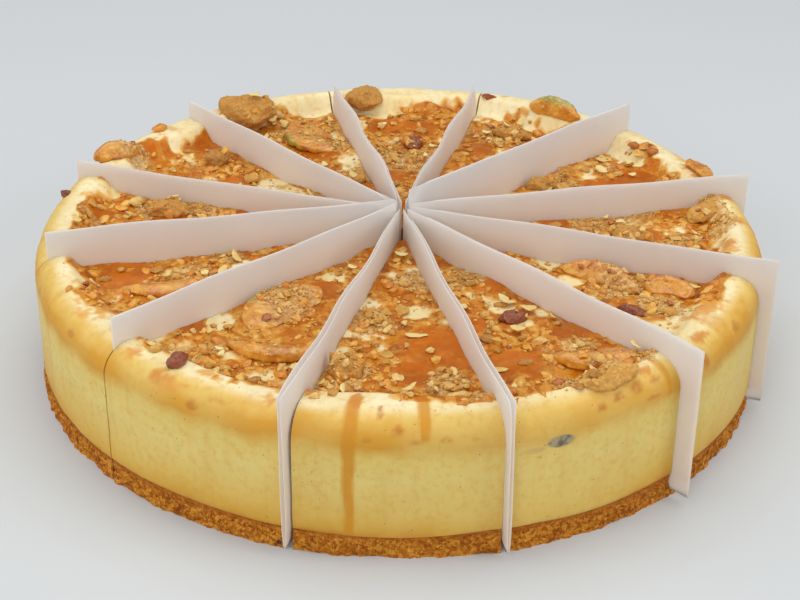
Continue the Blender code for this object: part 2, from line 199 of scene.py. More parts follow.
def slice_of(spot):
    """The number of the slice that holds a point."""
    turned = math.degrees(math.atan2(*reversed(spot - CUT_CENTRE))) % 360
    return max((k for k in range(SLICES) if math.degrees(cut_bearing(k)) <= turned), default=SLICES - 1)


def from_cuts(spot):
    """How far a point is from the middle of the nearer of the two cuts beside it."""
    k = slice_of(spot)
    return min(abs((spot - CUT_CENTRE).cross(direction(cut_bearing(cut)))) for cut in (k, k + 1))


def side_planes(k):
    """The planes that bound slice k, each as a point and a normal that points out of the slice."""
    first, last = cut_bearing(k), cut_bearing(k + 1)
    middle = direction((first + last) / 2)
    planes = [(CUT_CENTRE + middle * TIP_REACH, -middle)]
    for bearing, spread, outward in ((first, slot_spread(k), -1), (last, -slot_spread(k + 1), 1)):
        normal = direction(bearing + outward * math.pi / 2)
        start = CUT_CENTRE - normal * (SLOT_WIDTH / 2)
        planes.append((start, direction(bearing + spread + outward * math.pi / 2)))
    return [(spot.to_3d(), normal.to_3d()) for spot, normal in planes]


widths = [math.degrees(cut_bearing(k + 1) - cut_bearing(k)) for k in range(SLICES)]
print("slices:", SLICES, "widest and narrowest in degrees:", round(max(widths), 1), round(min(widths), 1))

# %% [markdown]
# ## What lies where on the bed
# Caramel was poured over the bed and ran together in pools, and the cheesecake shows pale between them.
# Streusel was thrown on in handfuls. Three tables place the pools, the bare patches and the handfuls as
# round blobs, and smooth noise breaks up their edges. The masks made from them later drive the relief of the
# surface, the scatter of crumbs and the colours, so that all of them agree.

# %% Pools, bare patches and handfuls, each as x, y and radius in millimetres
POOLS = (
    (10, -72, 15), (5, -88, 9), (33, -83, 13), (22, -60, 7), (52, -62, 8), (-86, -32, 13), (-73, -40, 9),
    (-6, 88, 8), (6, 86, 9), (84, 43, 11), (71, 38, 9), (55, 84, 6), (-88, 56, 9), (-73, 67, 8), (-57, 38, 8),
    (-78, 7, 9), (-51, 12, 6), (72, -19, 8), (82, 2, 7), (52, 8, 6), (28, 68, 8), (0, -11, 7), (-30, 62, 9),
    (28, -35, 8), (-24, -40, 8), (-62, -62, 7), (60, -76, 9), (-3, 45, 7), (92, 54, 6), (-100, 10, 5),
    (18, -82, 8), (-66, -52, 6),
)
BARE_PATCHES = (
    (-46, 36, 7), (-38, 31, 5), (80, 68, 7), (84, 58, 6), (54, -32, 6), (48, -19, 5), (-74, -70, 6),
    (-8, -49, 6), (5, -53, 5), (-21, -31, 4), (32, -47, 5), (37, -58, 4), (-55, -60, 6), (-17, -78, 5),
    (43, -51, 4), (-50, -24, 4), (35, 12, 5), (-62, 30, 5), (15, -48, 3), (62, -50, 4), (-86, 74, 5),
    (88, -55, 8), (78, -60, 6), (70, -66, 4),
)
HANDFULS = (
    (2, 56, 13), (-11, 48, 9), (-25, 68, 8), (-80, 18, 10), (-69, 15, 8), (69, 5, 15), (108, 18, 9),
    (110, 6, 9), (-15, -88, 8), (14, -91, 9), (-35, -49, 10), (5, -32, 8), (22, -28, 9), (55, -70, 7),
    (72, -34, 9), (60, -91, 10), (-66, -30, 8), (-56, -18, 7), (-94, 50, 8), (40, 45, 8), (36, 78, 9),
    (-52, 62, 8), (57, 38, 9), (-8, -60, 9), (95, -8, 9), (-88, 30, 7), (80, -46, 8), (18, 22, 8), (-30, 25, 8),
    (48, -97, 6), (72, -82, 6), (-20, -98, 5), (-62, -80, 6),
)


print("pools:", len(POOLS), "bare patches:", len(BARE_PATCHES), "handfuls:", len(HANDFULS))

# %% [markdown]
# A blob's depth falls from its middle to its edge. The bed ends in a ragged line, caramel covers most of the
# bed, and fine streusel drifts around the handfuls.

# %% Masks of the bed, the caramel and the streusel


def nearest(table, x, y):
    """How deep points lie in the deepest blob of a table: 1 at its middle, 0 at its edge, less outside."""
    depth = np.full(len(x), -1.0)
    for blob_x, blob_y, radius in table:
        depth = np.maximum(depth, 1 - np.hypot(x / MM - blob_x, y / MM - blob_y) / radius)
    return depth


def on_bed(x, y):
    """1 on the bed, 0 on the rim, with a ragged edge between them. At the front the edge laps over the rim's
    crest, and at the back it keeps below it."""
    bearing, reach = np.arctan2(y, x), np.hypot(x, y)
    ragged = 9.0 * wander(x, y, 12 * MM, 8) + 4.0 * wander(x, y, 4 * MM, 9)
    backward = np.sin(bearing)
    lap = 3.0 * smooth(0.3, -0.6, backward) - 2.5 * smooth(0.7, 0.95, backward)
    return smooth(-5.0, -1.0, (bed_radius(bearing) - reach) / MM + ragged + lap)


def caramel_depth(x, y):
    """How deep the caramel is: 0 where the cheesecake is bare, 0.75 where it coats crumbs, 1 in a pool."""
    spread = 0.76 + 0.85 * wander(x, y, 12 * MM, 10) + 0.50 * wander(x, y, 4 * MM, 11)
    spread += 0.30 * wander(x, y, 1.8 * MM, 12)
    pool, bare = nearest(POOLS, x, y), nearest(BARE_PATCHES, x, y)
    amount = spread + 1.1 * np.maximum(pool, 0) - 1.5 * np.maximum(bare + 0.1, 0)
    return smooth(0.05, 0.95, amount) * on_bed(x, y) * (0.75 + 0.25 * smooth(0, 0.5, pool))


def streusel_cover(x, y):
    """How thickly the fine streusel lies, from 0 to 1."""
    drift = 0.30 + 0.7 * wander(x, y, 10 * MM, 13)
    handful = nearest(HANDFULS, x, y)
    pile = 1.3 * np.maximum(handful, -0.1) - 0.55 * np.maximum(nearest(POOLS, x, y), 0)
    return smooth(0.0, 1.0, drift + pile) * np.maximum(on_bed(x, y), smooth(-0.1, 0.4, handful))


pool_spot = np.array([10.0]) * MM, np.array([-72.0]) * MM
print("caramel at the front pool:", caramel_depth(*pool_spot).round(2))

# %% [markdown]
# ## Caramel on the rim and the wall
# Some caramel ran over the rim. Most of it is a thin stain in the cream, and a few streams ran down the wall.
# Each stream is a path at one bearing that swings a little as it falls. The wall also has small brown marks
# where the oven caught it, and at one place a piece of fruit shows through. Tables hold them all, and smooth
# noise breaks up their edges.

# %% Streams, stains and marks
# A stream's bearing in degrees, its width, the heights where it begins and ends, and its strength.
STREAMS = (
    (263.6, 5.4, 46.5, 8.0, 1.0), (273.8, 5.0, 47.0, 41.0, 1.0), (205.5, 3.0, 47.0, 14.0, 0.35),
    (327.0, 10.0, 47.0, 39.0, 0.5), (317.5, 5.0, 47.0, 30.0, 0.4), (185.0, 3.0, 46.0, 20.0, 0.3),
    (95.0, 4.0, 47.0, 25.0, 0.25), (60.0, 5.0, 47.0, 33.0, 0.4), (140.0, 4.5, 47.0, 18.0, 0.55),
    (311.0, 3.4, 46.5, 39.0, 0.8), (20.0, 4.0, 47.0, 28.0, 0.5), (2.0, 4.0, 47.0, 36.0, 0.6),
)
# A stain's place on the rim: its bearing, distance from the middle, size along the rim and across it, strength.
STAINS = (
    (228.0, 113, 8, 4, 0.9), (246.0, 104, 14, 4, 0.7), (236.0, 116, 10, 3, 0.5), (299.0, 108, 12, 6, 1.0),
    (307.0, 113, 10, 4, 0.9), (316.0, 110, 7, 4, 0.9), (322.0, 113, 6, 4, 0.8), (205.0, 108, 9, 4, 0.9),
    (213.0, 111, 10, 4, 0.8), (195.0, 108, 7, 3, 0.7), (268.0, 106, 14, 3, 0.6), (285.0, 104, 9, 3, 0.7),
    (12.0, 111, 9, 7, 0.9), (2.0, 112, 8, 6, 0.7), (80.0, 106, 4, 3, 0.4), (70.0, 112, 6, 3, 0.3),
    (88.0, 101, 9, 4, 0.4), (39.0, 107, 6, 4, 0.4), (28.0, 113, 7, 4, 0.8), (147.0, 108, 12, 5, 0.6),
    (160.0, 112, 7, 4, 0.6), (345.0, 111, 10, 4, 0.5), (354.0, 108, 8, 5, 0.7), (120.0, 104, 8, 4, 0.3),
    (331.0, 107, 15, 8, 1.0), (263.6, 108, 4, 8, 1.0), (273.8, 109, 3.5, 6, 1.0), (252.0, 112, 7, 4, 0.7),
    (256.0, 104, 6, 5, 0.9), (281.0, 112, 6, 3, 0.5), (292.0, 109, 8, 5, 0.7), (220.0, 106, 10, 6, 0.9),
    (22.0, 112, 15, 6, 1.0), (56.0, 108, 10, 5, 0.4), (100.0, 108, 8, 5, 0.3), (130.0, 108, 12, 5, 0.5),
    (174.0, 106, 14, 6, 0.7), (188.0, 112, 6, 4, 0.6), (310.0, 106, 14, 5, 0.9), (240.0, 110, 9, 3, 0.6),
)
# A mark's place on the wall: its bearing, its height, half its length, half its height, strength.
BROWN_MARKS = (
    (267.6, 46, 1.3, 1, 0.9), (270.1, 43, 2.2, 1.6, 0.8), (266, 40.5, 2, 1, 0.5), (272.5, 40.2, 2.6, 0.9, 0.5),
    (276.5, 40.6, 2.2, 1, 0.5), (280.5, 40.4, 1.6, 0.8, 0.4), (240.9, 41, 2.6, 1.8, 0.7),
    (237, 43.5, 3, 0.9, 0.5), (244.5, 44.2, 3.4, 0.8, 0.5), (307.9, 40, 3.6, 0.9, 0.6),
    (289.5, 31.5, 0.9, 0.8, 0.8), (319.7, 42, 2.4, 3.4, 0.9), (317, 38, 1.8, 3, 0.7), (180, 38, 4, 2.4, 0.8),
    (199, 40, 2.4, 1.8, 0.5), (214, 42, 3, 1.4, 0.6), (299, 42.6, 2.2, 1, 0.8), (302, 43.4, 2.6, 1.4, 0.9),
    (305.5, 44, 3.4, 1.6, 0.8), (309, 44, 3, 1.2, 0.7), (330, 43, 3.2, 1.6, 0.7), (30, 40, 3.6, 2, 0.6),
    (62, 42, 3, 2.2, 0.6), (108, 39, 3, 1.6, 0.5), (131, 41, 4, 2, 0.6), (155, 36, 2, 1.8, 0.6),
    (5, 41, 3, 1.6, 0.6),
)
FRUIT_MARKS = ((292.5, 35.8, 5.6, 2.8, 1.0), (288.6, 34.2, 5.5, 1.8, 0.3))
print("streams:", len(STREAMS), "stains:", len(STAINS), "brown marks:", len(BROWN_MARKS))

# %% [markdown]
# Each table is read the same way: the deepest mark at a point counts. A mark's place is a bearing round the
# cake, so its distance from a point is measured along the wall.

# %% Masks of the streams, the stains and the marks


def turn_between(a, b):
    """The signed angles in degrees from b to a, the short way round."""
    return (a - b + 180) % 360 - 180


def marks_at(table, bearing, height):
    """How deep points of the wall lie in the marks of a table, from 0 to 1."""
    depth = np.zeros(len(bearing))
    for centre, level, along, up, strength in table:
        u = np.radians(turn_between(np.degrees(bearing), centre)) * CAKE_RADIUS / MM / along
        depth = np.maximum(depth, strength * smooth(0, 0.55, 1 - np.hypot(u, (height / MM - level) / up)))
    return depth


def stream_depth(bearing, height):
    """Caramel in the streams at places on the wall or the shoulder."""
    depth = np.zeros(len(bearing))
    for centre, width, top, bottom, strength in STREAMS:
        across = np.radians(turn_between(np.degrees(bearing), centre)) * CAKE_RADIUS / MM
        near = np.abs(across) < width
        if near.any():
            level = height[near] / MM
            swing = 0.7 * wander(height[near], np.full(near.sum(), centre * MM), 9 * MM, 14)
            narrow = 1 - 0.35 * smooth(bottom, top, top + bottom - level)
            body = 1 - smooth(0.50, 1.0, np.abs(across[near] + swing) / (width / 2 * narrow))
            depth[near] = np.maximum(depth[near], strength * body * smooth(bottom - 1.5, bottom + 0.5, level))
    return depth


def stain_depth(x, y):
    """Thin caramel that has soaked into the cream of the rim."""
    bearing, reach = np.degrees(np.arctan2(y, x)), np.hypot(x, y) / MM
    depth = np.zeros(len(x))
    for centre, radius, along, across, strength in STAINS:
        u = np.radians(turn_between(bearing, centre)) * radius / along
        depth = np.maximum(depth, strength * (1 - np.hypot(u, (reach - radius) / across)))
    mottle = 0.9 * wander(x, y, 4.2 * MM, 15) + 0.5 * wander(x, y, 1.5 * MM, 16)
    return smooth(0.0, 0.45, depth * 1.3 - 0.35 + mottle) * smooth(0, 0.15, depth)


print("stream at its middle:", stream_depth(np.radians([263.6]), np.array([30 * MM])).round(2))

# %% [markdown]
# ## Small helpers for meshes and pieces
# A bmesh is Blender's editable mesh. Each piece is finished the same way: its faces are turned outwards, its
# vertices may get a named mask that a material reads later, and the piece rides on the cake's one body.

# %% Finish a piece


def finish_piece(name, mesh, material, replaced=()):
    """Makes a mesh a piece of the cake, which stands for the CAD nodes that it replaces."""
    mesh.name = name
    mesh.shade_smooth()
    mesh.set_sharp_from_angle(angle=math.radians(55))
    mesh.materials.clear()
    mesh.materials.append(material)
    piece = add_object(name, mesh)
    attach(piece, "root")
    if replaced:
        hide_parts(*replaced)
    return piece


def modified_mesh(holder):
    """A new mesh of the scratch object with its modifiers applied. The object is removed."""
    bpy.context.view_layer.update()
    made = bpy.data.meshes.new_from_object(holder.evaluated_get(bpy.context.evaluated_depsgraph_get()))
    bpy.data.objects.remove(holder)
    return made


def welded(node):
    """A bmesh of a solid node, with its triangles joined at their corners."""
    bm = bmesh.new()
    bm.from_mesh(node.data)
    bmesh.ops.remove_doubles(bm, verts=bm.verts, dist=WELD)
    return bm


def surface_of(pieces):
    """The surface of some pieces, ready for rays to be cast at it."""
    bm = bmesh.new()
    for piece in pieces:
        bm.from_mesh(piece.data)
    surface = BVHTree.FromBMesh(bm)
    bm.free()
    return surface


def triangles(piece):
    piece.data.calc_loop_triangles()
    return len(piece.data.loop_triangles)


def mesh_of(bm):
    """The bmesh as a mesh whose faces point outwards. The bmesh is freed."""
    bmesh.ops.recalc_face_normals(bm, faces=bm.faces)
    mesh = bpy.data.meshes.new("made")
    bm.to_mesh(mesh)
    bm.free()
    return mesh


# %% [markdown]
# ## Small helpers for materials
# A procedural material is a tree of nodes. Short functions keep each tree readable. One puts a node in and
# fills its inputs. Others mix two colours, turn a value into a colour along a scale, and read a mask from the
# vertices.

# %% Node helpers


def tint(code):
    """A colour written as on screen, such as #C08040, in Blender's linear values."""
    channels = [int(code[n:n + 2], 16) / 255 for n in (1, 3, 5)]
    return (*(c / 12.92 if c <= 0.04045 else ((c + 0.055) / 1.055) ** 2.4 for c in channels), 1)


def put(tree, kind, inputs=(), **settings):
    """Adds a node, with its settings, and its inputs set to values or linked to other nodes' outputs."""
    node = tree.nodes.new(kind)
    for name, value in settings.items():
        setattr(node, name, value)
    for name, value in dict(inputs).items():
        if isinstance(value, bpy.types.NodeSocket):
            tree.links.new(value, node.inputs[name])
        else:
            node.inputs[name].default_value = value
    return node


def mixed(tree, share, under, over):
    """The colour over, laid on the colour under by a share."""
    under, over = (tint(c) if isinstance(c, str) else c for c in (under, over))
    return put(tree, "ShaderNodeMix", {0: share, 6: under, 7: over}, data_type="RGBA").outputs[2]


def scale_of(tree, value, *stops):
    """A colour scale: each stop is a place from 0 to 1 and a colour."""
    node = put(tree, "ShaderNodeValToRGB", {"Fac": value})
    marks = node.color_ramp.elements
    marks[0].position, marks[0].color = stops[0][0], tint(stops[0][1])
    marks[1].position, marks[1].color = stops[-1][0], tint(stops[-1][1])
    for place, colour in stops[1:-1]:
        marks.new(place).color = tint(colour)
    return node.outputs["Color"]


def mask(tree, name):
    return put(tree, "ShaderNodeAttribute", attribute_name=name).outputs["Fac"]


print("cream on screen and in the render's own values:", "#F1E6BE", [round(c, 2) for c in tint("#F1E6BE")])

# %% [markdown]
# Values are added, multiplied and stretched before they share out colours. Noise has patches of a size stated
# in millimetres. New materials start from the Principled shader, which takes plain numbers for what is even and
# links for what changes over the surface.

# %% Values, patterns and materials


def sum_of(tree, a, b, operation="ADD"):
    return put(tree, "ShaderNodeMath", {0: a, 1: b}, operation=operation).outputs[0]


def times(tree, a, b):
    return sum_of(tree, a, b, operation="MULTIPLY")


def stretched(tree, value, low, high, new_low=0.0, new_high=1.0):
    """The value, with low to high stretched smoothly over new_low to new_high."""
    ends = {"Value": value, "From Min": low, "From Max": high, "To Min": new_low, "To Max": new_high}
    return put(tree, "ShaderNodeMapRange", ends, interpolation_type="SMOOTHSTEP").outputs["Result"]


def clouds(tree, place, size, detail=3.0, roughness=0.55):
    """Noise from 0 to 1 whose patches are about size millimetres across."""
    inputs = {"Vector": place, "Scale": 1 / (size * MM), "Detail": detail, "Roughness": roughness}
    return put(tree, "ShaderNodeTexNoise", inputs).outputs[0]


def bump(tree, height, distance):
    """Fine relief of the given depth in millimetres."""
    inputs = {"Height": height, "Distance": distance * MM, "Strength": 1.0}
    return put(tree, "ShaderNodeBump", inputs).outputs[0]


def new_material(name, **values):
    """A material with its Principled shader's sockets set, and its tree, shader and object coordinates."""
    material = bpy.data.materials.new(name)
    material.use_nodes = True
    tree = material.node_tree
    shader = tree.nodes["Principled BSDF"]
    for socket, value in values.items():
        shader.inputs[socket.replace("_", " ")].default_value = value
    place = put(tree, "ShaderNodeTexCoord").outputs["Object"]
    return material, tree, shader, place


def dress(tree, shader, colour, roughness, normal=None):
    """Links what changes over the surface to the shader."""
    tree.links.new(colour, shader.inputs["Base Color"])
    tree.links.new(roughness, shader.inputs["Roughness"])
    if normal is not None:
        tree.links.new(normal, shader.inputs["Normal"])


print("node groups so far:", len(bpy.data.node_groups))

# %% [markdown]
# ## A shared effect: crumb grain
# The crust and the streusel are both crumb: small grains, each with its own tone, and dark gaps between
# them. They differ in grain size and colour only, so the grain is one node group. It gives a tone for each
# grain and a height for the bump, and each material colours it in its own way.

# %% The crumb grain group
crumb_grain = bpy.data.node_groups.new("crumb grain", "ShaderNodeTree")
crumb_grain.interface.new_socket("Place", in_out="INPUT", socket_type="NodeSocketVector")
crumb_grain.interface.new_socket("Fineness", in_out="INPUT", socket_type="NodeSocketFloat")
crumb_grain.interface.new_socket("Tone", in_out="OUTPUT", socket_type="NodeSocketFloat")
crumb_grain.interface.new_socket("Height", in_out="OUTPUT", socket_type="NodeSocketFloat")
grain_in, grain_out = (crumb_grain.nodes.new(kind) for kind in ("NodeGroupInput", "NodeGroupOutput"))
grain_place = grain_in.outputs["Place"]
warp = put(crumb_grain, "ShaderNodeTexNoise", {"Vector": grain_place, "Scale": 900.0, "Detail": 2.0})
shift = put(crumb_grain, "ShaderNodeVectorMath", {0: warp.outputs["Color"], "Scale": 0.0009}, operation="SCALE")
bent = put(crumb_grain, "ShaderNodeVectorMath", {0: grain_place, 1: shift.outputs[0]}).outputs[0]
grains = put(crumb_grain, "ShaderNodeTexVoronoi", {"Vector": bent, "Scale": grain_in.outputs["Fineness"]})
dust_inputs = {"Vector": bent, "Scale": 2600.0, "Detail": 3.0, "Roughness": 0.7}
dust = put(crumb_grain, "ShaderNodeTexNoise", dust_inputs)
each = put(crumb_grain, "ShaderNodeSeparateColor", {0: grains.outputs["Color"]}).outputs[0]
tone = sum_of(crumb_grain, times(crumb_grain, each, 0.55), times(crumb_grain, dust.outputs[0], 0.45))
crumb_grain.links.new(tone, grain_out.inputs["Tone"])
rise = sum_of(crumb_grain, 1.0, grains.outputs["Distance"], "SUBTRACT")
crumb_grain.links.new(sum_of(crumb_grain, rise, times(crumb_grain, dust.outputs[0], 0.5)),
                      grain_out.inputs["Height"])
print("group outputs:", [item.name for item in crumb_grain.interface.items_tree if item.in_out == "OUTPUT"])


def grain_node(tree, place, size):
    """The crumb grain, with grains about size millimetres across: its tone and its height."""
    node = put(tree, "ShaderNodeGroup", node_tree=crumb_grain)
    tree.links.new(place, node.inputs["Place"])
    node.inputs["Fineness"].default_value = 1 / (size * MM)
    return node.outputs["Tone"], node.outputs["Height"]


# %% [markdown]
# ## The cheesecake material
# One slice shows five finishes: the pale yellow wall, a golden band under the shoulder where the oven
# browned it, the cream rim, glossy caramel, and dull streusel dust. They run into each other, so they are
# one material. Height above the table colours the wall, and the masks on the vertices say where the rest is.

# %% Wall and cream
cheesecake, tree, shader, place = new_material(
    "cheesecake", Specular_IOR_Level=0.2, Subsurface_Weight=0.10, Subsurface_Radius=(0.9, 0.55, 0.25),
    Subsurface_Scale=0.002)
height = put(tree, "ShaderNodeSeparateXYZ", {0: place}).outputs["Z"]
soft = clouds(tree, place, 16, 3)
fine = clouds(tree, place, 2.2, 4, 0.6)
wobble = times(tree, sum_of(tree, soft, 0.5, "SUBTRACT"), 9 * MM)
level = put(tree, "ShaderNodeMapRange", {"Value": sum_of(tree, height, wobble), "From Min": 6 * MM,
                                         "From Max": 48 * MM}).outputs["Result"]
wall = scale_of(tree, level, (0.0, "#C2842C"), (0.07, "#D2A341"), (0.20, "#DAB75E"), (0.50, "#DEC97A"),
                (0.66, "#DDC26C"), (0.76, "#CE9430"), (0.84, "#D2992F"), (0.92, "#E2BA62"), (1.0, "#EED797"))
wall = mixed(tree, stretched(tree, clouds(tree, place, 45, 2), 0.42, 0.62, 0.0, 0.55), wall, "#DEC472")
wall = mixed(tree, stretched(tree, fine, 0.40, 0.80, 0.0, 0.20), wall, "#D0A648")
tall = put(tree, "ShaderNodeMapping", {"Vector": place, "Scale": (1, 1, 0.12)}).outputs[0]
wall = mixed(tree, stretched(tree, clouds(tree, tall, 5, 3, 0.6), 0.48, 0.75, 0.0, 0.25), wall, "#CC9C3A")
cream = mixed(tree, stretched(tree, soft, 0.40, 0.62), "#EEE2B6", "#EBD8A0")
cream = mixed(tree, stretched(tree, fine, 0.5, 0.8, 0.0, 0.35), cream, "#E4BC6C")
base = mixed(tree, mask(tree, "top"), wall, cream)
print("cheesecake nodes so far:", len(tree.nodes))

# %% [markdown]
# Tiny dark specks are scattered through the cheesecake. They are the middles of a few cells of a Voronoi
# pattern. Over them come the brown marks, the fruit, the streams and the stains, each by its own mask.

# %% Specks, marks and stains
speck_cells = put(tree, "ShaderNodeTexVoronoi", {"Vector": place, "Scale": 1 / (2.6 * MM)})
speck_pick = put(tree, "ShaderNodeSeparateColor", {0: speck_cells.outputs["Color"]}).outputs[0]
speck = times(tree, stretched(tree, speck_cells.outputs["Distance"], 0.06, 0.11, 1.0, 0.0),
              stretched(tree, speck_pick, 0.62, 0.66))
base = mixed(tree, times(tree, speck, 0.65), base, "#7A4A20")
brown = times(tree, mask(tree, "brown"), stretched(tree, fine, 0.3, 0.6, 0.35, 1.0))
base = mixed(tree, brown, base, "#B4662A")
fruit = stretched(tree, mask(tree, "fruit"), 0.05, 0.8)
base = mixed(tree, fruit, base, scale_of(tree, fine, (0.35, "#6A604C"), (0.6, "#A09A7C")))
base = mixed(tree, times(tree, mask(tree, "stream"), 0.9), base, mixed(tree, fine, "#D8982A", "#C07C1C"))
stain = scale_of(tree, soft, (0.42, "#E2AC58"), (0.58, "#CC853A"))
base = mixed(tree, times(tree, mask(tree, "stain"), 0.9), base, stain)
print("cheesecake nodes so far:", len(tree.nodes))

# %% [markdown]
# Caramel is pale and thin at its edges, full of soft crumbs where it coats the bed, and deep and clear in the
# pools. Streusel dust is dull, so it takes the gloss away where it lies.

# %% Caramel and dust
caramel = mask(tree, "caramel")
ragged = sum_of(tree, caramel, times(tree, sum_of(tree, fine, 0.5, "SUBTRACT"), 0.45))
thin_share = times(tree, stretched(tree, ragged, -0.05, 0.30), 0.85)
caramel_share = stretched(tree, ragged, 0.15, 0.60)
pool = stretched(tree, caramel, 0.78, 0.98)
syrup = mixed(tree, stretched(tree, soft, 0.35, 0.65), "#CA7410", "#B86408")
syrup = mixed(tree, pool, syrup, mixed(tree, stretched(tree, soft, 0.40, 0.60), "#C46810", "#AC5608"))
bit_tone, bit_height = grain_node(tree, place, 2.3)
bit = scale_of(tree, bit_tone, (0.2, "#94480A"), (0.42, "#BA6A14"), (0.6, "#D08C28"), (0.85, "#E6BA5C"))
bits = stretched(tree, clouds(tree, place, 7, 3, 0.6), 0.38, 0.60, 0.35, 0.95)
bits = times(tree, bits, stretched(tree, pool, 0, 1, 1.0, 0.2))
syrup = mixed(tree, bits, syrup, bit)
dust_tone, dust_height = grain_node(tree, place, 1.0)
dust_colour = scale_of(tree, dust_tone, (0.15, "#A06A2C"), (0.5, "#CC9650"), (0.85, "#EBD298"))
dust_share = times(tree, stretched(tree, sum_of(tree, mask(tree, "dust"), fine), 0.75, 1.25), 0.75)
surface = mixed(tree, thin_share, base, mixed(tree, fine, "#E2A838", "#CE8820"))
surface = mixed(tree, caramel_share, surface, syrup)
surface = mixed(tree, dust_share, surface, dust_colour)
gloss = put(tree, "ShaderNodeMapRange", {"Value": caramel_share, "To Min": 0.55, "To Max": 0.24})
matt = sum_of(tree, gloss.outputs["Result"], times(tree, dust_share, 0.45))
relief = sum_of(tree, times(tree, fine, 0.3), times(tree, dust_height, dust_share))
relief = sum_of(tree, relief, times(tree, bit_height, times(tree, bits, caramel_share)))
dress(tree, shader, surface, matt, bump(tree, relief, 0.4))
print("cheesecake nodes:", len(tree.nodes))

# %% [markdown]
# ## Crust, streusel and oats
# The crust is biscuit crumb pressed together with butter: grains of a millimetre, orange brown with gold.
# Its upper edge, where the filling met it, is smoother and darker. Streusel is paler and sugary. Oat flakes
# are cream. Each crumb has its own shade, held in a mask, so that no two neighbours match.

# %% Crumb materials
crust_material, tree, shader, place = new_material("baked crust", Specular_IOR_Level=0.25)
tone, rise = grain_node(tree, place, 0.9)
broad = clouds(tree, place, 7, 3)
crumb = scale_of(tree, sum_of(tree, times(tree, tone, 0.75), times(tree, broad, 0.35)),
                 (0.18, "#783A08"), (0.42, "#A65C10"), (0.62, "#C67E1C"), (0.90, "#E8AA44"))
height = put(tree, "ShaderNodeSeparateXYZ", {0: place}).outputs["Z"]
seam = stretched(tree, sum_of(tree, height, times(tree, broad, 2 * MM)), 6.2 * MM, 8.2 * MM, 0.0, 0.75)
crumb = mixed(tree, seam, crumb, "#A45A14")
raisin = stretched(tree, clouds(tree, place, 6, 1), 0.72, 0.76, 0.0, 0.85)
crumb = mixed(tree, raisin, crumb, "#4C2A18")
dress(tree, shader, crumb, stretched(tree, tone, 0.2, 0.8, 0.9, 0.65), bump(tree, rise, 0.35))

streusel_material, tree, shader, place = new_material(
    "streusel crumb", Specular_IOR_Level=0.3, Subsurface_Weight=0.05, Subsurface_Radius=(0.8, 0.5, 0.3),
    Subsurface_Scale=0.001)
tone, rise = grain_node(tree, place, 0.7)
patches = clouds(tree, place, 5, 3)
value = sum_of(tree, times(tree, tone, 0.35), times(tree, mask(tree, "shade"), 0.55))
value = sum_of(tree, value, times(tree, patches, 0.25))
crumb = scale_of(tree, value, (0.12, "#98642E"), (0.34, "#BA8442"), (0.60, "#D29E4C"), (0.95, "#ECCE88"))
crumb = mixed(tree, stretched(tree, clouds(tree, place, 3.5, 2), 0.52, 0.64, 0.0, 0.40), crumb, "#C88434")
dress(tree, shader, crumb, stretched(tree, tone, 0.2, 0.9, 0.9, 0.6), bump(tree, rise, 0.25))

glazed_material, tree, shader, place = new_material(
    "glazed crumb", Subsurface_Weight=0.08, Subsurface_Radius=(0.8, 0.4, 0.15), Subsurface_Scale=0.0015,
    Coat_Weight=0.2)
value = sum_of(tree, times(tree, clouds(tree, place, 1.4, 3), 0.45), times(tree, mask(tree, "shade"), 0.6))
crumb = scale_of(tree, value, (0.15, "#AC5A10"), (0.45, "#CC7E1C"), (0.70, "#DE9C32"), (0.95, "#ECC468"))
dress(tree, shader, crumb, stretched(tree, value, 0.2, 0.8, 0.25, 0.45),
      bump(tree, clouds(tree, place, 0.5, 3), 0.15))

oat_material, tree, shader, place = new_material(
    "oat flake", Specular_IOR_Level=0.35, Subsurface_Weight=0.1, Subsurface_Radius=(0.9, 0.7, 0.4),
    Subsurface_Scale=0.001)
value = sum_of(tree, times(tree, clouds(tree, place, 1.3, 4), 0.5), times(tree, mask(tree, "shade"), 0.6))
crumb = scale_of(tree, value, (0.15, "#CE9E50"), (0.45, "#DEBE72"), (0.85, "#ECD898"))
dress(tree, shader, crumb, stretched(tree, value, 0.2, 0.8, 0.7, 0.5),
      bump(tree, clouds(tree, place, 0.35, 3), 0.12))
print("crumb materials:", crust_material.name, streusel_material.name, glazed_material.name, oat_material.name)

# %% [markdown]
# ## Apple, nuts and paper
# The apple slices are soaked in caramel: amber flesh, deeper at the thin ends, and a strip of peel along the
# outer curve, with streusel stuck to their tops. The nuts and raisins are dark, red and shiny. The paper is
# thin and lets light through, so a share of a translucent shader shows on one side the light that falls on
# the other.

# %% Fruit, nut and paper materials
apple_material, tree, shader, place = new_material(
    "glazed apple", Subsurface_Weight=0.08, Subsurface_Radius=(0.8, 0.6, 0.3), Subsurface_Scale=0.002,
    Coat_Weight=0.5)
flesh = scale_of(tree, clouds(tree, place, 5, 4, 0.6), (0.30, "#AE5E12"), (0.48, "#D08822"), (0.70, "#E4AC44"))
peel = scale_of(tree, clouds(tree, place, 4, 3), (0.35, "#958A34"), (0.65, "#BCA246"))
tone, rise = grain_node(tree, place, 1.2)
stuck = stretched(tree, sum_of(tree, mask(tree, "dust"), clouds(tree, place, 2.5, 3)), 0.70, 1.10, 0.0, 0.8)
skin = mixed(tree, stuck, flesh, scale_of(tree, tone, (0.2, "#A4662A"), (0.5, "#CA9246"), (0.85, "#E6C47C")))
skin = mixed(tree, mask(tree, "peel"), skin, peel)
fibres = clouds(tree, place, 0.9, 3)
relief = sum_of(tree, times(tree, fibres, 0.6), times(tree, rise, stuck))
wet = sum_of(tree, stretched(tree, fibres, 0.3, 0.7, 0.18, 0.34), times(tree, stuck, 0.5))
dress(tree, shader, skin, wet, bump(tree, relief, 0.35))

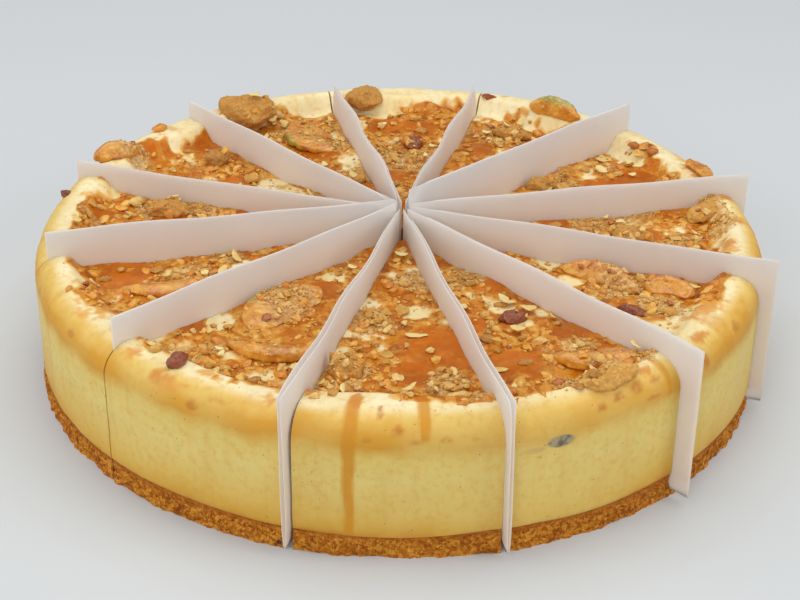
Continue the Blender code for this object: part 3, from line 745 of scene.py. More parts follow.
nut_material, tree, shader, place = new_material("glazed nut", Coat_Weight=0.3)
wrinkles = clouds(tree, place, 1.6, 4, 0.6)
value = sum_of(tree, times(tree, wrinkles, 0.6), times(tree, mask(tree, "shade"), 0.4))
skin = scale_of(tree, value, (0.25, "#6A2A10"), (0.50, "#9C4C20"), (0.80, "#C07A3C"))
dress(tree, shader, skin, stretched(tree, wrinkles, 0.3, 0.7, 0.25, 0.5), bump(tree, wrinkles, 0.5))

paper_material, tree, shader, place = new_material("folded paper", Specular_IOR_Level=0.3)
height = put(tree, "ShaderNodeSeparateXYZ", {0: place}).outputs["Z"]
fibre = clouds(tree, place, 7, 5, 0.6)
# Below the rim the sheet turns warmer: painted bounce light from the cake, not a colour of the paper itself.
painted_cake_bounce = times(tree, stretched(tree, height, 58 * MM, 42 * MM), 0.8)
sheet = mixed(tree, painted_cake_bounce, mixed(tree, fibre, "#FCFBFA", "#F7F6F5"), "#FAF3EB")
dress(tree, shader, sheet, stretched(tree, fibre, 0.3, 0.7, 0.5, 0.62),
      bump(tree, clouds(tree, place, 0.8, 3), 0.02))
glow = put(tree, "ShaderNodeBsdfTranslucent", {"Color": sheet})
through = put(tree, "ShaderNodeMixShader", {0: 0.6, 1: shader.outputs[0], 2: glow.outputs[0]})
tree.links.new(through.outputs[0], tree.nodes["Material Output"].inputs["Surface"])
print("other materials:", apple_material.name, nut_material.name, paper_material.name)

# %% [markdown]
# ## The slices of cheesecake
# The whole cake is a turned form, so a slice starts as its outline, which is spun about the middle from one
# cut to the next. Bevelling one corner of the outline rounds the shoulder, and subdividing its edges makes
# the mesh fine enough for crumbs. Each point is then moved to where the real surface lies, and three planes
# trim the wedge to its slots and tip.

# %% Spin, shape and cut a wedge
HUB = CUT_CENTRE.to_3d()
SHOULDER_STEPS = 12
WEDGE_START = 3 * MM  # from the hub, so inside the tips that the last of the three planes cuts


def spun_wedge(k, corners, wall_step, top_step, turn_step, shoulder=0.0):
    """A closed ring outline, spun from cut k to the next. corners are the radius and height of the inner foot,
    outer foot, outer top and inner top. The wall and the top are subdivided to about the given steps."""
    bm = bmesh.new()
    first, last = cut_bearing(k), cut_bearing(k + 1)
    steps = round((last - first) * CAKE_RADIUS / turn_step)
    outer, top = corners[2]
    spots = [bm.verts.new(HUB + direction(first).to_3d() * r + Vector((0, 0, z))) for r, z in corners]
    for n in range(len(spots)):
        bm.edges.new((spots[n - 1], spots[n]))
    if shoulder:
        bmesh.ops.bevel(bm, geom=[spots[2]], offset=shoulder, offset_type="OFFSET", segments=SHOULDER_STEPS,
                        profile=0.5, affect="VERTICES", material=-1)
    for edge in list(bm.edges):
        ends = [vert.co - HUB for vert in edge.verts]
        upright = abs(ends[0].z - ends[1].z) > MM and all(end.xy.length > outer - MM for end in ends)
        on_top = abs(ends[0].z - ends[1].z) < 0.01 * MM and ends[0].z > top - MM
        step = wall_step if upright else top_step if on_top else None
        if step:
            bmesh.ops.subdivide_edges(bm, edges=[edge], cuts=round(edge.calc_length() / step))
    bmesh.ops.spin(bm, geom=bm.verts[:] + bm.edges[:], cent=HUB, axis=(0, 0, 1), dvec=(0, 0, 0),
                   angle=last - first, steps=steps, use_merge=False, use_duplicate=False)
    return bm


def trim_wedge(bm, k):
    """Cuts the wedge at its two slots and its tip, and closes each cut with a face."""
    for spot, normal in side_planes(k):
        every = bm.verts[:] + bm.edges[:] + bm.faces[:]
        cut = bmesh.ops.bisect_plane(bm, geom=every, plane_co=spot, plane_no=normal, clear_outer=True)
        edges = [item for item in cut["geom_cut"] if isinstance(item, bmesh.types.BMEdge)]
        bmesh.ops.contextual_create(bm, geom=edges)


def wedge_corners(foot, top):
    return ((WEDGE_START, foot), (CAKE_RADIUS, foot), (CAKE_RADIUS, top), (WEDGE_START, top))


trial = spun_wedge(8, wedge_corners(8 * MM, 46 * MM), 6 * MM, 12 * MM, 10.5 * MM, 9 * MM)
trim_wedge(trial, 8)
print("a coarse wedge has", len(trial.faces), "faces; open edges:", sum(e.is_boundary for e in trial.edges))
trial.free()

# %% [markdown]
# ## Fine relief on the top
# Caramel lies about half a millimetre thick with a rounded edge. Streusel makes small rounded lumps, which a
# Voronoi pattern gives: the height falls off with the distance from the nearest point of a random set. The
# bare cheesecake and the rim only swell gently.

# %% Relief and masks at a point
CARAMEL_THICKNESS = 0.6 * MM


def lumps(x, y, size, layer):
    """Rounded lumps of about the given size, from 0 between them to 1 on top."""
    near = np.array([noise.voronoi((a, b, layer))[0][0] for a, b in zip(x / size, y / size)])
    return smooth(0.75, 0.05, near)


def top_points(x, y):
    """The height of the finished top, and its caramel, stain and dust."""
    caramel, dust = caramel_depth(x, y), streusel_cover(x, y)
    height = surface_height(x, y) + CARAMEL_THICKNESS * caramel
    height += 0.35 * MM * wander(x, y, 13 * MM, 20) + 0.18 * MM * wander(x, y, 3.4 * MM, 21)
    coated = np.maximum(dust, caramel * smooth(1.0, 0.8, caramel))
    height += coated * MM * (0.6 * lumps(x, y, 3.3 * MM, 22) + 0.4 * lumps(x, y, 1.6 * MM, 23) - 0.2)
    return height, caramel, stain_depth(x, y), dust


def wall_points(bearing, height):
    """How far the finished wall stands out, and its caramel."""
    stream = stream_depth(bearing, height)
    stands_out = 0.22 * wander(bearing * CAKE_RADIUS, height, 9 * MM, 25)
    stands_out += 0.07 * wander(bearing * CAKE_RADIUS, height, 2 * MM, 26) + 0.15 * stream
    return stands_out * MM, stream


pool_relief = top_points(*pool_spot)[0] - surface_height(*pool_spot)
print("relief over the front pool in mm:", (pool_relief / MM).round(2))

# %% Where the points of a turned wedge lie


def places_of(bm):
    """Every vertex of a turned wedge, as distance and bearing from the cake's axis, and height."""
    spots = np.array([vert.co for vert in bm.verts])
    from_hub = spots[:, :2] - np.array(CUT_CENTRE)
    bearing = np.arctan2(from_hub[:, 1], from_hub[:, 0])
    along = CUT_CENTRE.x * np.cos(bearing) + CUT_CENTRE.y * np.sin(bearing)
    full = -along + np.sqrt(along ** 2 - CUT_CENTRE.length_squared + CAKE_RADIUS ** 2)
    x, y = (np.array(CUT_CENTRE) + from_hub * (full / CAKE_RADIUS)[:, None]).T
    return np.hypot(x, y), np.arctan2(y, x), spots[:, 2]


def move_to(bm, reach, bearing, height):
    """Puts every vertex where its distance, bearing and height say."""
    x, y = reach * np.cos(bearing), reach * np.sin(bearing)
    for vert, spot in zip(bm.verts, zip(x, y, height)):
        vert.co = spot


trial = bmesh.new()
trial.verts.new(HUB + Vector((0, CAKE_RADIUS, 0)))
print("a point spun out to the wall lies this far from the axis in mm:", (places_of(trial)[0] / MM).round(1))
trial.free()

# %% [markdown]
# Every slice is such a wedge. Its foot, its side and its top are told apart by where they lay when it was
# spun. The rim's wander fades out down the wall, and near the wall the foot follows the top of the crust.

# %% Make the twelve slices
FOOT = CRUST_HEIGHT + FIT_GAP
TOP_STEP, WALL_STEP, TURN_STEP = 0.60 * MM, 0.75 * MM, 0.75 * MM
SHOULDER_ROUND = 8.7 * MM
WANDER_FADE = (26 * MM, 38 * MM)  # the heights between which the rim's wander sets in
SWELL_FADE = (44 * MM, RIM_HEIGHT)  # the same for the swelling of the top
STAIN_FADE = (40 * MM, 45 * MM)
STREAM_START = (104 * MM, 110 * MM)  # distances from the axis between which a stream sets in
# How far in from the wall the browned shoulder ends at the front, how much less at the back, and how softly.
BROWNED_EDGE, BROWNED_LESS, BROWNED_FADE = 4.0, 1.5, 4.5  # millimetres


def shape_slice(bm):
    """Moves each point of a turned wedge to the real surface, and gives the masks for every vertex."""
    reach, bearing, z = places_of(bm)
    x, y = reach * np.cos(bearing), reach * np.sin(bearing)
    caramel, stain, dust, stream, brown, fruit = (np.zeros(len(z)) for _ in range(6))
    foot = z < FOOT + 0.01 * MM
    top = (z > RIM_HEIGHT - 0.01 * MM) & (reach < CAKE_RADIUS - SHOULDER_REACH + 0.9 * MM)
    side = ~foot & ~top
    share = smooth(CAKE_RADIUS - 10 * MM, CAKE_RADIUS, reach[foot])
    z[foot] = FOOT + (interface_height(bearing[foot]) - CRUST_HEIGHT) * share
    stands_out, stream[side] = wall_points(bearing[side], z[side])
    brown[side], fruit[side] = (marks_at(table, bearing[side], z[side]) for table in (BROWN_MARKS, FRUIT_MARKS))
    swell, _, stain[side], _ = top_points(x[side], y[side])
    swell = (swell - surface_height(x[side], y[side])) * smooth(*SWELL_FADE, z[side])
    stain[side] *= smooth(*STAIN_FADE, z[side])
    out = wall_radius(bearing[side]) - CAKE_RADIUS + stands_out * smooth(RIM_HEIGHT, 42 * MM, z[side])
    z[side] += (rim_height(bearing[side]) - RIM_HEIGHT) * smooth(*WANDER_FADE, z[side]) + swell
    z[top], caramel[top], stain[top], dust[top] = top_points(x[top], y[top])
    stream[top] = stream_depth(bearing[top], z[top]) * smooth(*STREAM_START, reach[top])
    browned = CAKE_RADIUS - (BROWNED_EDGE - BROWNED_LESS * smooth(0.0, 0.7, np.sin(bearing))) * MM
    upward = smooth(browned, browned - BROWNED_FADE * MM, reach)
    reach[side] += out
    reach[foot] = np.minimum(reach[foot], CAKE_RADIUS - 0.3 * MM)
    move_to(bm, reach, bearing, z)
    return {"top": upward, "caramel": caramel, "stain": stain, "dust": dust, "stream": stream, "brown": brown,
            "fruit": fruit}


def make_slice(k):
    bm = spun_wedge(k, wedge_corners(FOOT, RIM_HEIGHT), WALL_STEP, TOP_STEP, TURN_STEP, SHOULDER_ROUND)
    for name, values in shape_slice(bm).items():
        layer = bm.verts.layers.float.new(name)
        for vert, value in zip(bm.verts, values):
            vert[layer] = value
    trim_wedge(bm, k)
    return finish_piece(f"slice_{k + 1:02d}", mesh_of(bm), cheesecake, [f"filling_{k + 1:02d}"])


slices = [make_slice(k) for k in range(SLICES)]
print("triangles in the slices:", sum(triangles(piece) for piece in slices))

# %% [markdown]
# ## The crumb crust
# The crust of a slice is a low wedge turned in the same way. Its outer face is where it shows, so that face
# is subdivided finely, and each point is pushed out or in by lumps of two sizes, as pressed crumb breaks.

# %% Make the twelve crusts
CRUST_WALL_STEP, CRUST_TURN_STEP = 0.45 * MM, 0.5 * MM
CRUST_TOP_STEP = 30 * MM  # coarse, because the filling covers it


def shape_crust(bm):
    """Moves each point of a turned wedge to the uneven seam above it and to the broken outer face."""
    reach, bearing, z = places_of(bm)
    share, outer = z / CRUST_HEIGHT, reach > CAKE_RADIUS - 0.01 * MM
    edge = reach > CAKE_RADIUS - 12 * MM
    z[edge] = interface_height(bearing[edge]) * share[edge]
    along, up, share = bearing[outer] * CAKE_RADIUS, z[outer], share[outer]
    rough = 0.70 * lumps(along, up, 3.0 * MM, 30) + 0.30 * lumps(along, up, 1.1 * MM, 31) - 0.3
    rough += 0.6 * wander(along, up, 6 * MM, 32)
    rough = rough * (1 - 0.8 * smooth(0.5, 1.0, share)) - 0.35 * share
    reach[outer] = wall_radius(bearing[outer]) + MM * rough
    move_to(bm, reach, bearing, z)


def make_crust(k):
    bm = spun_wedge(k, wedge_corners(0.0, CRUST_HEIGHT), CRUST_WALL_STEP, CRUST_TOP_STEP, CRUST_TURN_STEP)
    shape_crust(bm)
    trim_wedge(bm, k)
    solid = f"crust_{k + 1:02d}"
    return finish_piece(f"crumb_{solid}", mesh_of(bm), crust_material, [solid])


crusts = [make_crust(k) for k in range(SLICES)]
print("triangles in the crusts:", sum(triangles(piece) for piece in crusts))

# %% [markdown]
# ## The folded papers
# Each divider is one strip of paper folded along its foot, so it has two plies. A copy of the solid divider
# already has the right outline. With its top and its ends taken away it is an open fold, which a subdivision
# surface smooths and a thin wall turns into paper. At the front the plies of two papers stand apart in their
# slots, and outside the cake one leans on the other.

# %% Turn each solid divider into folded paper
PLY_THICKNESS = 0.14 * MM
PLY_GAP = 0.3 * MM  # left between the plies where one leans on the other
LEAN_OUT = (CAKE_RADIUS - 1 * MM, CAKE_RADIUS + 4 * MM)  # the distances between which the lean sets in
LEAN_UP = (8 * MM, 16 * MM)  # the heights between which it does


def lean_ply(bm, k):
    """Outside the cake, leans one ply of a parted paper on the other ply, except near the fold."""
    normal = direction(cut_bearing(k) + math.pi / 2)
    for vert in bm.verts:
        spot = vert.co.xy - CUT_CENTRE
        across = spot.dot(normal)
        lean = smooth(*LEAN_OUT, spot.length) * smooth(*LEAN_UP, vert.co.z)
        if across > 0:
            vert.co -= (normal * max(2 * across - PLY_GAP, 0) * lean).to_3d()


def fold_paper(k):
    """The solid divider k as one thin sheet, folded along its foot."""
    source = frame["nodes"][f"divider_{k + 1:02d}"]
    bm = welded(source)
    bmesh.ops.join_triangles(bm, faces=bm.faces, angle_face_threshold=math.radians(8),
                             angle_shape_threshold=math.radians(60))
    along = direction(cut_bearing(k)).to_3d()
    spare = [face for face in bm.faces if face.normal.z > 0.6 or abs(face.normal.dot(along)) > 0.7]
    bmesh.ops.delete(bm, geom=spare, context="FACES")
    if k in PARTED_PLIES:
        lean_ply(bm, k)
    fold = add_object("fold", mesh_of(bm))
    smoother = fold.modifiers.new("smooth", "SUBSURF")
    smoother.levels = smoother.render_levels = 2
    smoother.boundary_smooth = "PRESERVE_CORNERS"
    ply = fold.modifiers.new("ply", "SOLIDIFY")
    ply.thickness, ply.offset = PLY_THICKNESS, -1
    return finish_piece(f"paper_{k + 1:02d}", modified_mesh(fold), paper_material, [source.name])


papers = [fold_paper(k) for k in range(SLICES)]
print("triangles in the papers:", sum(triangles(piece) for piece in papers))

# %% [markdown]
# ## Streusel lumps, apple slices and nuts
# The solids give each topping its place and its bulk, cut to the bed under it. A voxel remesh turns a copy
# into an even mesh of small faces, smoothing takes off the facets, and noise along the normals gives the
# surface back: rough crumb for streusel, soft folds for apple.

# %% Refine the toppings
# For each kind: its material, voxel size, rounds of smoothing, and the depth and size of its unevenness.
TOPPING_KINDS = {
    "streusel": (streusel_material, 0.42, 4, 0.65, 2.6),
    "apple": (apple_material, 0.42, 9, 0.35, 3.5),
    "nut": (nut_material, 0.35, 6, 0.35, 2.2),
}
TOPPING_SHADES = {"streusel_lump_dark": 0.0, "streusel_lump_rim_front": 0.5, "streusel_lump_rim_right": 0.4}
# Where an apple slice shows its peel: its turn and tilt in degrees, and where the peel begins, from 0 at the
# slice's middle to 1 at its outer curve.
PEELS = {
    "apple_slice_front_left": (50, 4, 0.72), "apple_slice_standing": (-32, 62, 0.3),
    "apple_slice_rear_left": (26, 25, 0.6), "apple_slice_back": (118, 4, 0.8),
}


def peel_mask(name, from_middle):
    """1 where an apple slice shows its peel, from the points' places about the slice's middle."""
    if name not in PEELS:
        return np.zeros(len(from_middle))
    turn, tilt, start = PEELS[name]
    tilt = math.radians(tilt)
    outward = np.array((*direction(math.radians(turn + 90)) * math.cos(tilt), math.sin(tilt)))
    share = from_middle @ outward
    return smooth(start, start + 0.15, share / share.max())


print("slices that show peel:", len(PEELS))

# %% [markdown]
# A topping's masks are worked out before noise moves its points. Dust lies only on faces that look up.

# %% Make the fine toppings


def refine_topping(node):
    """A fine copy of a solid topping, with masks for its peel, its dust and its shade."""
    kind = node.name.split("_")[0]
    material, voxel, rounds, depth, size = TOPPING_KINDS[kind]
    rough = add_object("rough", mesh_of(welded(node)))
    remesh = rough.modifiers.new("even", "REMESH")
    remesh.mode, remesh.voxel_size = "VOXEL", voxel * MM
    bm = bmesh.new()
    bm.from_mesh(modified_mesh(rough))
    for _ in range(rounds):
        bmesh.ops.smooth_vert(bm, verts=bm.verts, factor=0.5, use_axis_x=True, use_axis_y=True,
                              use_axis_z=True)
    bm.normal_update()
    spots = np.array([vert.co for vert in bm.verts])
    offsets = depth * MM * (grain(spots, size * MM, 40) + 0.6 * grain(spots, size * MM / 2.3, 41))
    offsets += depth * MM * 0.4 * grain(spots, 0.9 * MM, 42)
    middle = np.mean(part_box(node.name), axis=0)
    masks = {"peel": peel_mask(node.name, spots - middle),
             "dust": 0.25 + 0.75 * streusel_cover(spots[:, 0], spots[:, 1]),
             "shade": np.full(len(spots), TOPPING_SHADES.get(node.name, 0.22))}
    layers = {name: bm.verts.layers.float.new(name) for name in masks}
    for n, vert in enumerate(bm.verts):
        vert.co += vert.normal * offsets[n]
        for name, layer in layers.items():
            vert[layer] = masks[name][n] * (max(vert.normal.z, 0) if name == "dust" else 1)
    return finish_piece(f"fine_{node.name}", mesh_of(bm), material, [node.name])


topping_nodes = [node for name, node in sorted(frame["nodes"].items()) if name.split("_")[0] in TOPPING_KINDS]
toppings = [refine_topping(node) for node in topping_nodes]
print("toppings:", len(toppings), "triangles:", sum(triangles(piece) for piece in toppings))

# %% [markdown]
# ## Crumbs, flakes and bits
# Hundreds of crumbs lie over the bed. Each kind has a few shapes, each a ball of twenty or eighty faces that
# noise has dented. Geometry nodes put a shape at each place, and realize the instances as one real mesh.

# %% The shapes of crumbs and flakes


def crumb_shapes(name, count, fineness, stretch, roughness, curl=0.0):
    """A collection of crumbs one unit long, each of its own shape."""
    shapes = bpy.data.collections.new(name)
    bpy.context.scene.collection.children.link(shapes)
    draw = random.Random(name)
    for n in range(count):
        bm = bmesh.new()
        bmesh.ops.create_icosphere(bm, subdivisions=fineness, radius=0.5)
        spots = np.array([vert.co for vert in bm.verts])
        pushes = 1 + roughness * (grain(spots, 0.5, n) + 0.7 * grain(spots, 0.22, n + 60))
        for vert, push in zip(bm.verts, pushes):
            vert.co *= push
        bmesh.ops.scale(bm, vec=[side * draw.uniform(0.85, 1.15) for side in stretch], verts=bm.verts)
        for vert in bm.verts:
            vert.co.z += curl * (vert.co.x ** 2 - 0.5 * vert.co.y ** 2)
        shapes.objects.link(bpy.data.objects.new(f"{name} {n}", mesh_of(bm)))
    return shapes


small_shapes = crumb_shapes("small crumb", 6, 1, (1, 0.8, 0.55), 0.55)
large_shapes = crumb_shapes("large crumb", 10, 2, (1, 0.78, 0.58), 0.6)
flake_shapes = crumb_shapes("flake", 8, 2, (1, 0.64, 0.13), 0.4, 0.4)

# %% The nodes that put a shape at each place
strew = bpy.data.node_groups.new("strew crumbs", "GeometryNodeTree")
strew.interface.new_socket("Places", in_out="INPUT", socket_type="NodeSocketGeometry")
shapes_socket = strew.interface.new_socket("Shapes", in_out="INPUT", socket_type="NodeSocketCollection")
strew.interface.new_socket("Crumbs", in_out="OUTPUT", socket_type="NodeSocketGeometry")
strew_in, strew_out = (strew.nodes.new(kind) for kind in ("NodeGroupInput", "NodeGroupOutput"))
chosen = put(strew, "GeometryNodeCollectionInfo", {"Collection": strew_in.outputs["Shapes"],
                                                   "Separate Children": True, "Reset Children": True})
named = (put(strew, "GeometryNodeInputNamedAttribute", {"Name": name}, data_type=data)
         for name, data in (("kind", "INT"), ("turn", "FLOAT_VECTOR"), ("size", "FLOAT_VECTOR")))
kind, turn, size = (node.outputs["Attribute"] for node in named)
placed = put(strew, "GeometryNodeInstanceOnPoints", {
    "Points": strew_in.outputs["Places"], "Instance": chosen.outputs[0], "Pick Instance": True,
    "Instance Index": kind, "Rotation": turn, "Scale": size})
real = put(strew, "GeometryNodeRealizeInstances", {"Geometry": placed.outputs[0]})
strew.links.new(real.outputs[0], strew_out.inputs["Crumbs"])


def strewn(name, shapes, places, material):
    """One piece with a crumb at each place. A place has a spot, a turn, a size and a shade."""
    bm = bmesh.new()
    layers = bm.verts.layers
    kind, shade = layers.int.new("kind"), layers.float.new("shade")
    turn, size = layers.float_vector.new("turn"), layers.float_vector.new("size")
    for n, (spot, rotation, lengths, tone) in enumerate(places):
        vert = bm.verts.new(spot)
        vert[kind], vert[shade] = n % len(shapes.objects), tone
        vert[turn], vert[size] = Vector(rotation), Vector(lengths)
    points = bpy.data.meshes.new("places")
    bm.to_mesh(points)
    bm.free()
    holder = add_object("places", points)
    modifier = holder.modifiers.new("strew", "NODES")
    modifier.node_group = strew
    modifier[shapes_socket.identifier] = shapes
    return finish_piece(name, modified_mesh(holder), material)


print("strewing nodes:", len(strew.nodes))

# %% [markdown]
# ## Where the crumbs lie
# The masks of the bed say how likely a crumb is at each spot. A ray cast down from above finds the surface
# under it. A crumb keeps clear of the slots, sinks in by a share of its height, and lies along the surface with
# a small random tilt. The solid slices carry some larger crumbs of their own: those are found as the points
# that stand above the bed, and a crumb is put at each.

# %% Settle a crumb
SLOT_CLEARANCE = 1.3 * MM
SCATTER_RADIUS = 113 * MM  # the crumbs of the top keep inside it
TILT = 0.35  # how far a crumb may tilt from the surface it lies on, in radians
LEAST_LEVEL = 0.35  # a crumb stays only where the surface's normal points up at least that much
ground = surface_of(slices + toppings)


def under(spot):
    """Where a ray cast straight down at a spot meets the top of the cake, and which way the surface faces."""
    return ground.ray_cast(Vector((*spot, 100 * MM)), Vector((0, 0, -1)))[:2]


def settled(spot, lengths, sink, draw):
    """A crumb's place on whatever lies under it, or None where it would stand in a slot."""
    room = SLOT_CLEARANCE + lengths[0] / 2
    if from_cuts(spot) < room or (spot - CUT_CENTRE).length < TIP_REACH + room:
        return None
    hit, normal = under(spot)
    if hit is None or normal.z < LEAST_LEVEL:
        return None
    turn = Euler((draw.uniform(-TILT, TILT), draw.uniform(-TILT, TILT), draw.uniform(0, math.tau)))
    lying = normal.to_track_quat("Z", "Y").to_matrix() @ turn.to_matrix()
    return hit + normal * lengths[2] * (0.5 - sink), lying.to_euler(), lengths, draw.uniform(0.3, 1.0)


print("top of the cake under its middle front in mm:", round(under((0, -60 * MM))[0].z / MM, 1))

# %% Find places for the crumbs
SOLID_CRUMB_RISE = 0.45 * MM  # a solid crumb's points stand at least that far above the bed
LONGEST_CRUMB = 14 * MM  # a longer group of points is something else


def strewn_places(seed, tries, wanted, sizes, sink):
    """Random places on the top, more of them where wanted is high, with small crumbs commoner than large."""
    draw, numbers = random.Random(seed), np.random.default_rng(seed)
    radius, bearing = SCATTER_RADIUS * np.sqrt(numbers.random(tries)), math.tau * numbers.random(tries)
    x, y = radius * np.cos(bearing), radius * np.sin(bearing)
    kept = numbers.random(tries) < wanted(x, y)
    smallest, largest = sizes
    places = []
    for spot in zip(x[kept], y[kept]):
        size = (smallest + (largest - smallest) * draw.random() ** 2) * MM
        places.append(settled(Vector(spot), (size, size, size), sink, draw))
    return [place for place in places if place]


def solid_crumbs(k):
    """The middle and the size of each crumb that the solid slice k carries on its bed, in a fixed order."""
    bm = welded(frame["nodes"][f"filling_{k + 1:02d}"])
    spots = np.array([vert.co for vert in bm.verts])
    inside = np.hypot(spots[:, 0], spots[:, 1]) < BED_RADIUS + 3 * MM
    high = inside & (spots[:, 2] > surface_height(spots[:, 0], spots[:, 1]) + SOLID_CRUMB_RISE)
    left = {vert for vert, up in zip(bm.verts, high) if up}
    found = []
    while left:
        group, edge = [], [left.pop()]
        while edge:
            vert = edge.pop()
            group.append(vert.co.copy())
            near = {other for link in vert.link_edges for other in link.verts} & left
            left -= near
            edge.extend(near)
        low, high = (Vector(map(end, zip(*group))) for end in (min, max))
        if len(group) > 4 and (high - low).length < LONGEST_CRUMB:
            found.append(((low + high) / 2, high - low))
    bm.free()
    return sorted(found, key=lambda mark: tuple(mark[0]))


marks = [mark for k in range(SLICES) for mark in solid_crumbs(k)]
longest = max(size.x for _, size in marks)
print("crumbs on the solid slices:", len(marks), "longest in mm:", round(longest / MM, 1))

# %% Strew the top


def off_pools(x, y):
    """1 outside the pools of caramel, falling to 0 inside them."""
    return 1 - smooth(0, 0.35, nearest(POOLS, x, y))


def streusel_wanted(x, y):
    thin = on_bed(x, y) * (0.08 * off_pools(x, y) + 0.5 * streusel_cover(x, y))
    return thin + 0.5 * smooth(0.05, 0.6, nearest(HANDFULS, x, y))


def glazed_wanted(x, y):
    return caramel_depth(x, y) * (0.1 + 0.9 * off_pools(x, y))


def flakes_wanted(x, y):
    return on_bed(x, y) * (0.15 + 0.5 * streusel_cover(x, y)) * (0.2 + 0.8 * off_pools(x, y))


print("streusel wanted in a handful:", streusel_wanted(np.array([2.0]) * MM, np.array([56.0]) * MM).round(2))

# %% [markdown]
# A few single crumbs stand out on the rim. The others are drawn at random from the shares above, each kind
# with its own seed. Of the crumbs on the solid slices, every second flat one becomes a flake, and the others
# become streusel.

# %% Crumbs with places of their own, each as x, y and length in millimetres, and its turn in degrees
CHOSEN = {
    "streusel": ((55.2, -97.6, 4.5, 20), (47.4, -93.6, 3.6, 80), (-23, -106, 3.2, 10), (-40.6, -97, 4.6, 40),
                 (-70.4, -83.3, 3.6, 0), (-52, -93, 3.2, 60), (51, -100, 3, 130), (-18, -104, 2.8, 50)),
    "glazed": ((84.6, 63.2, 4.8, 10), (87.8, 61.4, 5.4, 70), (86, 59.6, 4.6, 130), (90.5, 57.5, 4.4, 20),
               (-88.5, 69.2, 5.2, 30), (-45, -95, 4.2, 70), (45, -98, 3.4, 15)),
    "nut": ((-114.2, 19.7, 4.8, 80), (32.8, 103.7, 4.4, 0), (-97, 56, 3.6, 45)),
}


def chosen_places(kind):
    """The places of the single crumbs of one kind."""
    places = []
    for n, (x, y, length, turn) in enumerate(CHOSEN[kind]):
        size = length * MM
        spot = under((x * MM, y * MM))[0] + Vector((0, 0, 0.12 * size))
        places.append((spot, (0, 0, math.radians(turn)), (size, size, size), n % 3 / 2))
    return places


draw = random.Random(7)
marked = []
for middle, size in marks:
    rise = max(size.z, 1.6 * MM)
    spot = Vector((*middle.xy, under(middle.xy)[0].z + rise * 0.25))
    marked.append((spot, (0, 0, 0), (size.x, size.y * 1.2, rise * 1.5), draw.random()))
flat = [mark for mark in marked if mark[2][2] < 0.55 * mark[2][0]][::2]
chips = [mark for mark in marked if mark not in flat]
scatter = [
    strewn("streusel_crumbs", large_shapes, chosen_places("streusel") + chips
           + strewn_places(1, 3000, streusel_wanted, (1.4, 3.6), 0.35), streusel_material),
    strewn("streusel_dust", small_shapes, strewn_places(2, 19000, streusel_wanted, (0.6, 1.6), 0.3),
           streusel_material),
    strewn("glazed_crumbs", large_shapes, chosen_places("glazed")
           + strewn_places(3, 3000, glazed_wanted, (1.4, 4.2), 0.5), glazed_material),
    strewn("oat_flakes", flake_shapes, flat + strewn_places(4, 560, flakes_wanted, (2.6, 5.0), 0.1),
           oat_material),
    strewn("nut_bits", large_shapes, chosen_places("nut")
           + strewn_places(5, 160, flakes_wanted, (1.4, 3.0), 0.35), nut_material),
]
for piece in scatter:
    print(piece.name, "triangles:", triangles(piece))

# %% [markdown]
# ## Crumbs of the crust
# The crust breaks into grains along its outer face. The same nodes put small crumbs there: a ray cast level
# towards the middle of the cake finds the face at each height.

# %% Strew the crust
crust_ground = surface_of(crusts)


def crust_places(seed, tries, smallest, largest):
    """Random places for crumbs on the outer face of the crust."""
    draw, places = random.Random(seed), []
    for _ in range(tries):
        outward = direction(draw.uniform(0, math.tau)).to_3d()
        size = (smallest + (largest - smallest) * draw.random() ** 2) * MM
        level = Vector((0, 0, draw.uniform(size / 2, CRUST_HEIGHT - 0.8 * MM)))
        hit, normal, _, _ = crust_ground.ray_cast(outward * 2 * CAKE_RADIUS + level, -outward)
        beside = from_cuts((outward * CAKE_RADIUS).to_2d()) > SLOT_CLEARANCE + size
        if hit is not None and beside and normal.dot(outward) > 0.3:
            turn = Euler([draw.uniform(0, math.tau) for _ in "xyz"])
            places.append((hit - outward * size * 0.15, turn, (size, size, size), draw.random()))
    return places


crust_crumbs = strewn("crust_crumbs", small_shapes, crust_places(6, 4200, 0.7, 2.4), crust_material)
for shapes in (small_shapes, large_shapes, flake_shapes):
    for shape in list(shapes.objects):
        bpy.data.objects.remove(shape)
    bpy.data.collections.remove(shapes)
print("triangles in the crust's crumbs:", triangles(crust_crumbs))

# %% [markdown]
# ## Floor and light
# The cake stands on a pale floor that turns up far behind it without an edge, as in a photo studio. Broad soft
# lights overhead, in front and at both sides show the gloss of the caramel without hard shadows.

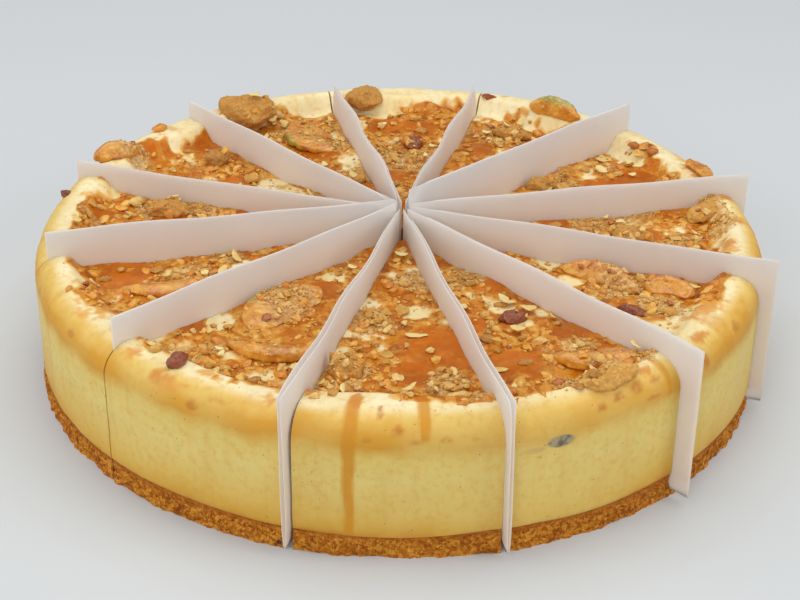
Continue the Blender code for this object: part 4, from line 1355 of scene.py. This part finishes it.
# %% Floor
FLOOR_SIDE = 3  # metres from the middle to each side
FLOOR_FRONT, BACKDROP_PLACE, BACKDROP_HEIGHT = -4, 3.4, 3.0  # metres
BACKDROP_BEND = 1.2  # metres from the corner to where the bend begins
floor_material, tree, shader, place = new_material("studio floor", Specular_IOR_Level=0.2)
floor_colour = mixed(tree, clouds(tree, place, 600, 2), "#CDD0D2", "#C9CCCE")
dress(tree, shader, floor_colour, stretched(tree, clouds(tree, place, 5, 2), 0, 1, 0.8, 0.9))
bm = bmesh.new()
profile = ((FLOOR_FRONT, 0), (BACKDROP_PLACE, 0), (BACKDROP_PLACE, BACKDROP_HEIGHT))
front, bend, head = (bm.verts.new((-FLOOR_SIDE, y, z)) for y, z in profile)
bm.edges.new((front, bend))
bm.edges.new((bend, head))
bmesh.ops.bevel(bm, geom=[bend], offset=BACKDROP_BEND, offset_type="OFFSET", segments=16, profile=0.5,
                affect="VERTICES", material=-1)
swept = bmesh.ops.extrude_edge_only(bm, edges=bm.edges[:])
moved = [item for item in swept["geom"] if isinstance(item, bmesh.types.BMVert)]
bmesh.ops.translate(bm, verts=moved, vec=(2 * FLOOR_SIDE, 0, 0))
mesh = mesh_of(bm)
mesh.shade_smooth()
mesh.materials.append(floor_material)
floor = add_object("floor", mesh)
print("floor faces:", len(mesh.polygons))

# %% Lights and world


def add_light(name, place, target, size, watts):
    """A broad rectangular light, sized in metres, that faces its target."""
    data = bpy.data.lights.new(name, "AREA")
    data.shape = "RECTANGLE"
    data.size, data.size_y = size
    data.energy = watts
    aim = (Vector(target) - Vector(place)).to_track_quat("-Z", "Y")
    add_object(name, data).matrix_world = Matrix.Translation(place) @ aim.to_matrix().to_4x4()


add_light("overhead", (0.0, 0.15, 1.0), (0, 0, 0), (1.2, 1.0), 6.6)
add_light("front", (-0.25, -1.15, 0.7), (0, 0, 0.03), (0.9, 0.7), 5.9)
add_light("right", (1.0, -0.3, 0.6), (0, 0, 0.03), (0.6, 0.6), 3.2)
add_light("left", (-1.1, -0.1, 0.5), (0, 0, 0.03), (0.6, 0.6), 2.8)
world = bpy.data.worlds.new("studio")
world.use_nodes = True
sky = world.node_tree.nodes["Background"]
sky.inputs["Color"].default_value = tint("#F2F4F6")
sky.inputs["Strength"].default_value = 0.42
bpy.context.scene.world = world
bpy.context.scene.view_settings.view_transform = "Standard"
print("lights:", [light.name for light in bpy.data.lights])
